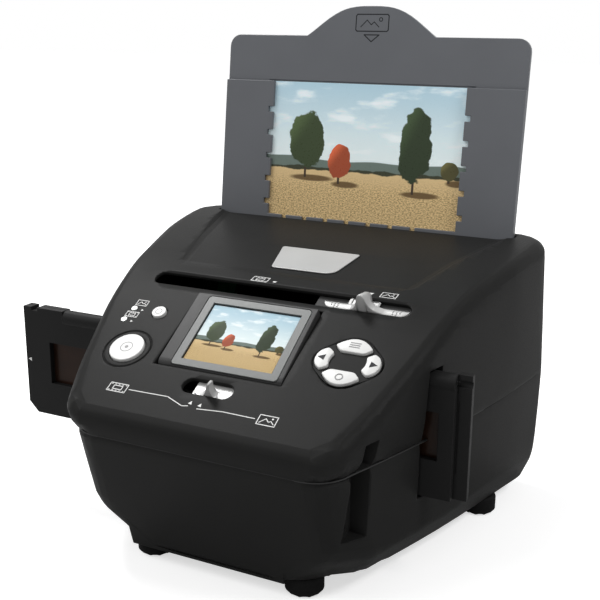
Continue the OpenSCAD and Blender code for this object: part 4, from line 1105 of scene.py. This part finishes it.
def printed(name, node, face, shapes, material, height=INK):
    """Flat marks of ink on a node. Each shape is a convex outline in the face's millimetres."""
    tree = surface_of(node)
    outward = direction(face, OUT)
    bm = bmesh.new()
    for outline in shapes:
        low, high = [], []
        for x, y in outline:
            point = drop(tree, face, x, y)
            low.append(bm.verts.new(point - outward * INK * MM))
            high.append(bm.verts.new(point + outward * height * MM))
        bm.faces.new(high)
        bm.faces.new(low[::-1])
        bridge(bm, low, high)
    bmesh.ops.recalc_face_normals(bm, faces=bm.faces)
    add_piece(name, to_mesh(bm, name, None), node, material)


def bar(x0, y0, x1, y1, w):
    """A line of width w from one point to another."""
    along = Vector((x1 - x0, y1 - y0)).normalized() * w / 2
    side = Vector((-along.y, along.x))
    a, b = Vector((x0, y0)), Vector((x1, y1))
    return [tuple(a - side), tuple(b - side), tuple(b + side), tuple(a + side)]


def path(points, w):
    """A line through several points, each bar a little longer than its span."""
    shapes = []
    for (x0, y0), (x1, y1) in zip(points, points[1:]):
        extra = Vector((x1 - x0, y1 - y0)).normalized() * w * LINE_OVERLAP
        shapes.append(bar(x0 - extra.x, y0 - extra.y, x1 + extra.x, y1 + extra.y, w))
    return shapes


def box_line(x0, y0, x1, y1, w):
    return path([(x0, y0), (x1, y0), (x1, y1), (x0, y1), (x0, y0)], w)


def triangle(x, y, size, turn):
    """A triangle that points along the angle turn."""
    corners = [(size, 0), (-0.6 * size, -0.8 * size), (-0.6 * size, 0.8 * size)]
    c, s = math.cos(math.radians(turn)), math.sin(math.radians(turn))
    return [(x + c * u - s * v, y + s * u + c * v) for u, v in corners]


def disc(x, y, r, count=20):
    return arc(x, y, r, 0, 360, count)[:-1]


def ring(x, y, r, w, count=20):
    points = disc(x, y, r, count)
    return path(points + points[:1], w)


def picture_icon(x, y, w, h, line):
    """A framed picture: a hill and a sun in a rectangle."""
    x0, x1, y0, y1 = x - w / 2, x + w / 2, y - h / 2, y + h / 2
    hill = [
        (x0 + 0.12 * w, y0 + 0.2 * h), (x - 0.1 * w, y + 0.18 * h), (x + 0.1 * w, y0 + 0.35 * h),
        (x + 0.2 * w, y0 + 0.5 * h), (x1 - 0.1 * w, y0 + 0.2 * h),
    ]
    sun = disc(x + 0.25 * w, y + 0.24 * h, 0.09 * h, 10)
    return box_line(x0, y0, x1, y1, line) + path(hill, line) + [sun]


def film_icon(x, y, w, h, line):
    """A piece of film: a strip with one window and holes along both edges."""
    x0, x1, y0, y1 = x - w / 2, x + w / 2, y - h / 2, y + h / 2
    shapes = box_line(x0, y0, x1, y1, line)
    shapes += box_line(x0 + 0.26 * w, y0 + 0.28 * h, x1 - 0.26 * w, y1 - 0.28 * h, line)
    for i in range(5):
        hole = x0 + (i + 0.5) * w / 5
        for hole_y in (y0 + 0.13 * h, y1 - 0.13 * h):
            shapes.append(bar(hole - 0.04 * w, hole_y, hole + 0.04 * w, hole_y, 0.9 * line))
    return shapes


def panel_marks():
    # the two ends of the light's slot
    marks = [triangle(-3.9, 99.8, 1.5, -90), triangle(48.9, 101.1, 1.5, -90)]
    marks += film_icon(-12.5, 101.0, 9, 4.6, LINE)
    marks += picture_icon(58.0, 101.6, 8, 4.8, LINE)
    # leaders from the two places of the focus lever to their pictures
    marks += path([(-41.5, 14.6), (-20.1, 15.0), (-10.5, 11.4), (-7.6, 12.0)], LINE)
    marks += [triangle(-7.1, 14.0, ARROW, 80), triangle(-1.9, 13.6, ARROW, 80)]
    marks += path([(-2.4, 11.4), (10.5, 12.6), (27.0, 12.4)], LINE)
    marks += film_icon(-48.0, 14.6, 10, 5.0, LINE)
    marks += picture_icon(33.2, 12.6, 9, 5.4, LINE)
    # small pointers and pictures by the two status lamps
    marks += [triangle(-64.6, 66.0, 0.9, 0), triangle(-66.2, 57.4, 0.9, 0)]
    marks += picture_icon(-67.4, 71.0, 6.4, 3.8, THIN_LINE)
    marks += film_icon(-68.6, 62.2, 7, 3.6, THIN_LINE)
    printed("panel_marks", "upper_case", PANEL, marks, "panel_ink")


SCAN_AT = (-57.6, 39.3)
POWER_AT = (-54, 66)
LONG_KEY_OUT, SIDE_KEY_OUT = 10.2, 12.6


def key_marks():
    x, v = KEYS_AT
    low, high, left, right = (
        v - LONG_KEY_OUT, v + LONG_KEY_OUT, x - SIDE_KEY_OUT, x + SIDE_KEY_OUT,
    )
    menu = [bar(x - 2.6, high + dv, x + 2.6, high + dv, 0.5) for dv in (-1.3, 0, 1.3)]
    scan = ring(*SCAN_AT, 3.1, 0.4, 28) + [disc(*SCAN_AT, 1.0)]
    for node, shapes, material, height in (
        ("left_key", [triangle(left, v, 2.2, 180)], "dark_ink", KEY_INK),
        ("right_key", [triangle(right, v, 2.2, 0)], "dark_ink", KEY_INK),
        ("up_key", menu, "pale_ink", KEY_INK),
        ("down_key", ring(x, low, 1.7, 0.5), "pale_ink", KEY_INK),
        ("scan_button", scan, "pale_ink", INK),
        ("power_button", ring(*POWER_AT, 1.7, 0.35, 24), "pale_ink", INK),
    ):
        printed(node + "_mark", node, PANEL, shapes, material, height)


def tray_groove_shade():
    """A framed picture and an arrow for the way in, sunk into the plate, drawn as fine dark lines:
    painted shade in their grooves.
    """
    outline = [
        (-9.2, 110.2), (9.2, 110.2), (10.0, 111.0), (10.0, 118.8), (9.2, 119.6), (-9.2, 119.6),
        (-10.0, 118.8), (-10.0, 111.0), (-9.2, 110.2),
    ]
    hill = [(-7.0, 112.6), (-3.2, 116.4), (-0.6, 113.8), (1.2, 115.4), (4.2, 112.6)]
    arrow = [(-4.6, 108.2), (4.6, 108.2), (0, 104.4), (-4.6, 108.2)]
    shapes = path(outline, GROOVE_SHADE_LINE) + path(hill, THIN_GROOVE_SHADE_LINE)
    shapes += ring(5.2, 116.8, 1.0, 0.45, 14) + path(arrow, GROOVE_SHADE_LINE)
    printed("tray_groove_shade", "tray_back_plate", TRAY, shapes, "dark_ink")


def holder_marks():
    """A small pointer on the front leaf, for the way in."""
    pointer = triangle(-146.2, 75.9, 1.4, 180)
    printed("holder_mark", "holder_front_leaf", HOLDER, [pointer], "panel_ink")


DOT_R = 0.42
DOT_COLUMNS = (14.4, 16.1, 17.8)  # how far out, at both ends
DOT_ROWS = (-3.2, -2.05, -0.9)
DOT_STAGGER = -0.35  # of the middle column
DOT_END = 17.0  # further out, the round end leaves no room for the first row


def grip_dots():
    """Raised dots on both ends of the light slider's strip."""
    tree = surface_of(KNOB)
    bm = bmesh.new()
    for side in (-1, 1):
        for i, out in enumerate(DOT_COLUMNS):
            for dv in DOT_ROWS[1 if out > DOT_END else 0:]:
                stagger = DOT_STAGGER if i % 2 else 0
                point = drop(tree, PANEL, KNOB_AT[0] + side * out, KNOB_AT[1] + dv + stagger)
                bmesh.ops.create_icosphere(
                    bm, subdivisions=2, radius=DOT_R * MM, matrix=Matrix.Translation(point),
                )
    add_piece("grip_dots", to_mesh(bm, "grip_dots"), KNOB, "silver_plastic")


# ---------------------------------------------------------------- the whole scene

# How far the edges of these nodes are rounded, in millimetres
DRESSED = {
    "screen_housing": 0.4, "screen_bezel": 0.25, "scan_button": 0.5, "power_button": 0.4,
    "focus_lever": 0.35, "tray_back_plate": 0.4, "tray_front_frame": 0.3,
    "holder_front_leaf": 0.3, "holder_rear_leaf": 0.3, "rubber_feet": 1.8,
}
PLATE_EDGE, PLATE_CORNER = 0.25, 1.7
CASE_EDGE = 0.45


def paint_nodes():
    """Every CAD node gets the material of its slot."""
    for name, node in NODES.items():
        node.data.materials.clear()
        node.data.materials.append(MATERIALS[SLOT_OF[name]])


bpy.context.scene.view_settings.view_transform = "Standard"
add_camera()
add_world()
add_floor()
add_lights()
paint_nodes()
for node_name, edge_width in DRESSED.items():
    dressed(node_name, edge_width)
dressed("name_plate", PLATE_EDGE, PLATE_CORNER)
dressed("upper_case", CASE_EDGE, skin=upper_skin(), keep_top=True)
dressed("lower_case", CASE_EDGE, skin=lower_skin(), solid=lower_solid())
make_keys()
key_bezel()
light_knob()
panel_marks()
key_marks()
tray_groove_shade()
holder_marks()
grip_dots()
seam_shade_band()
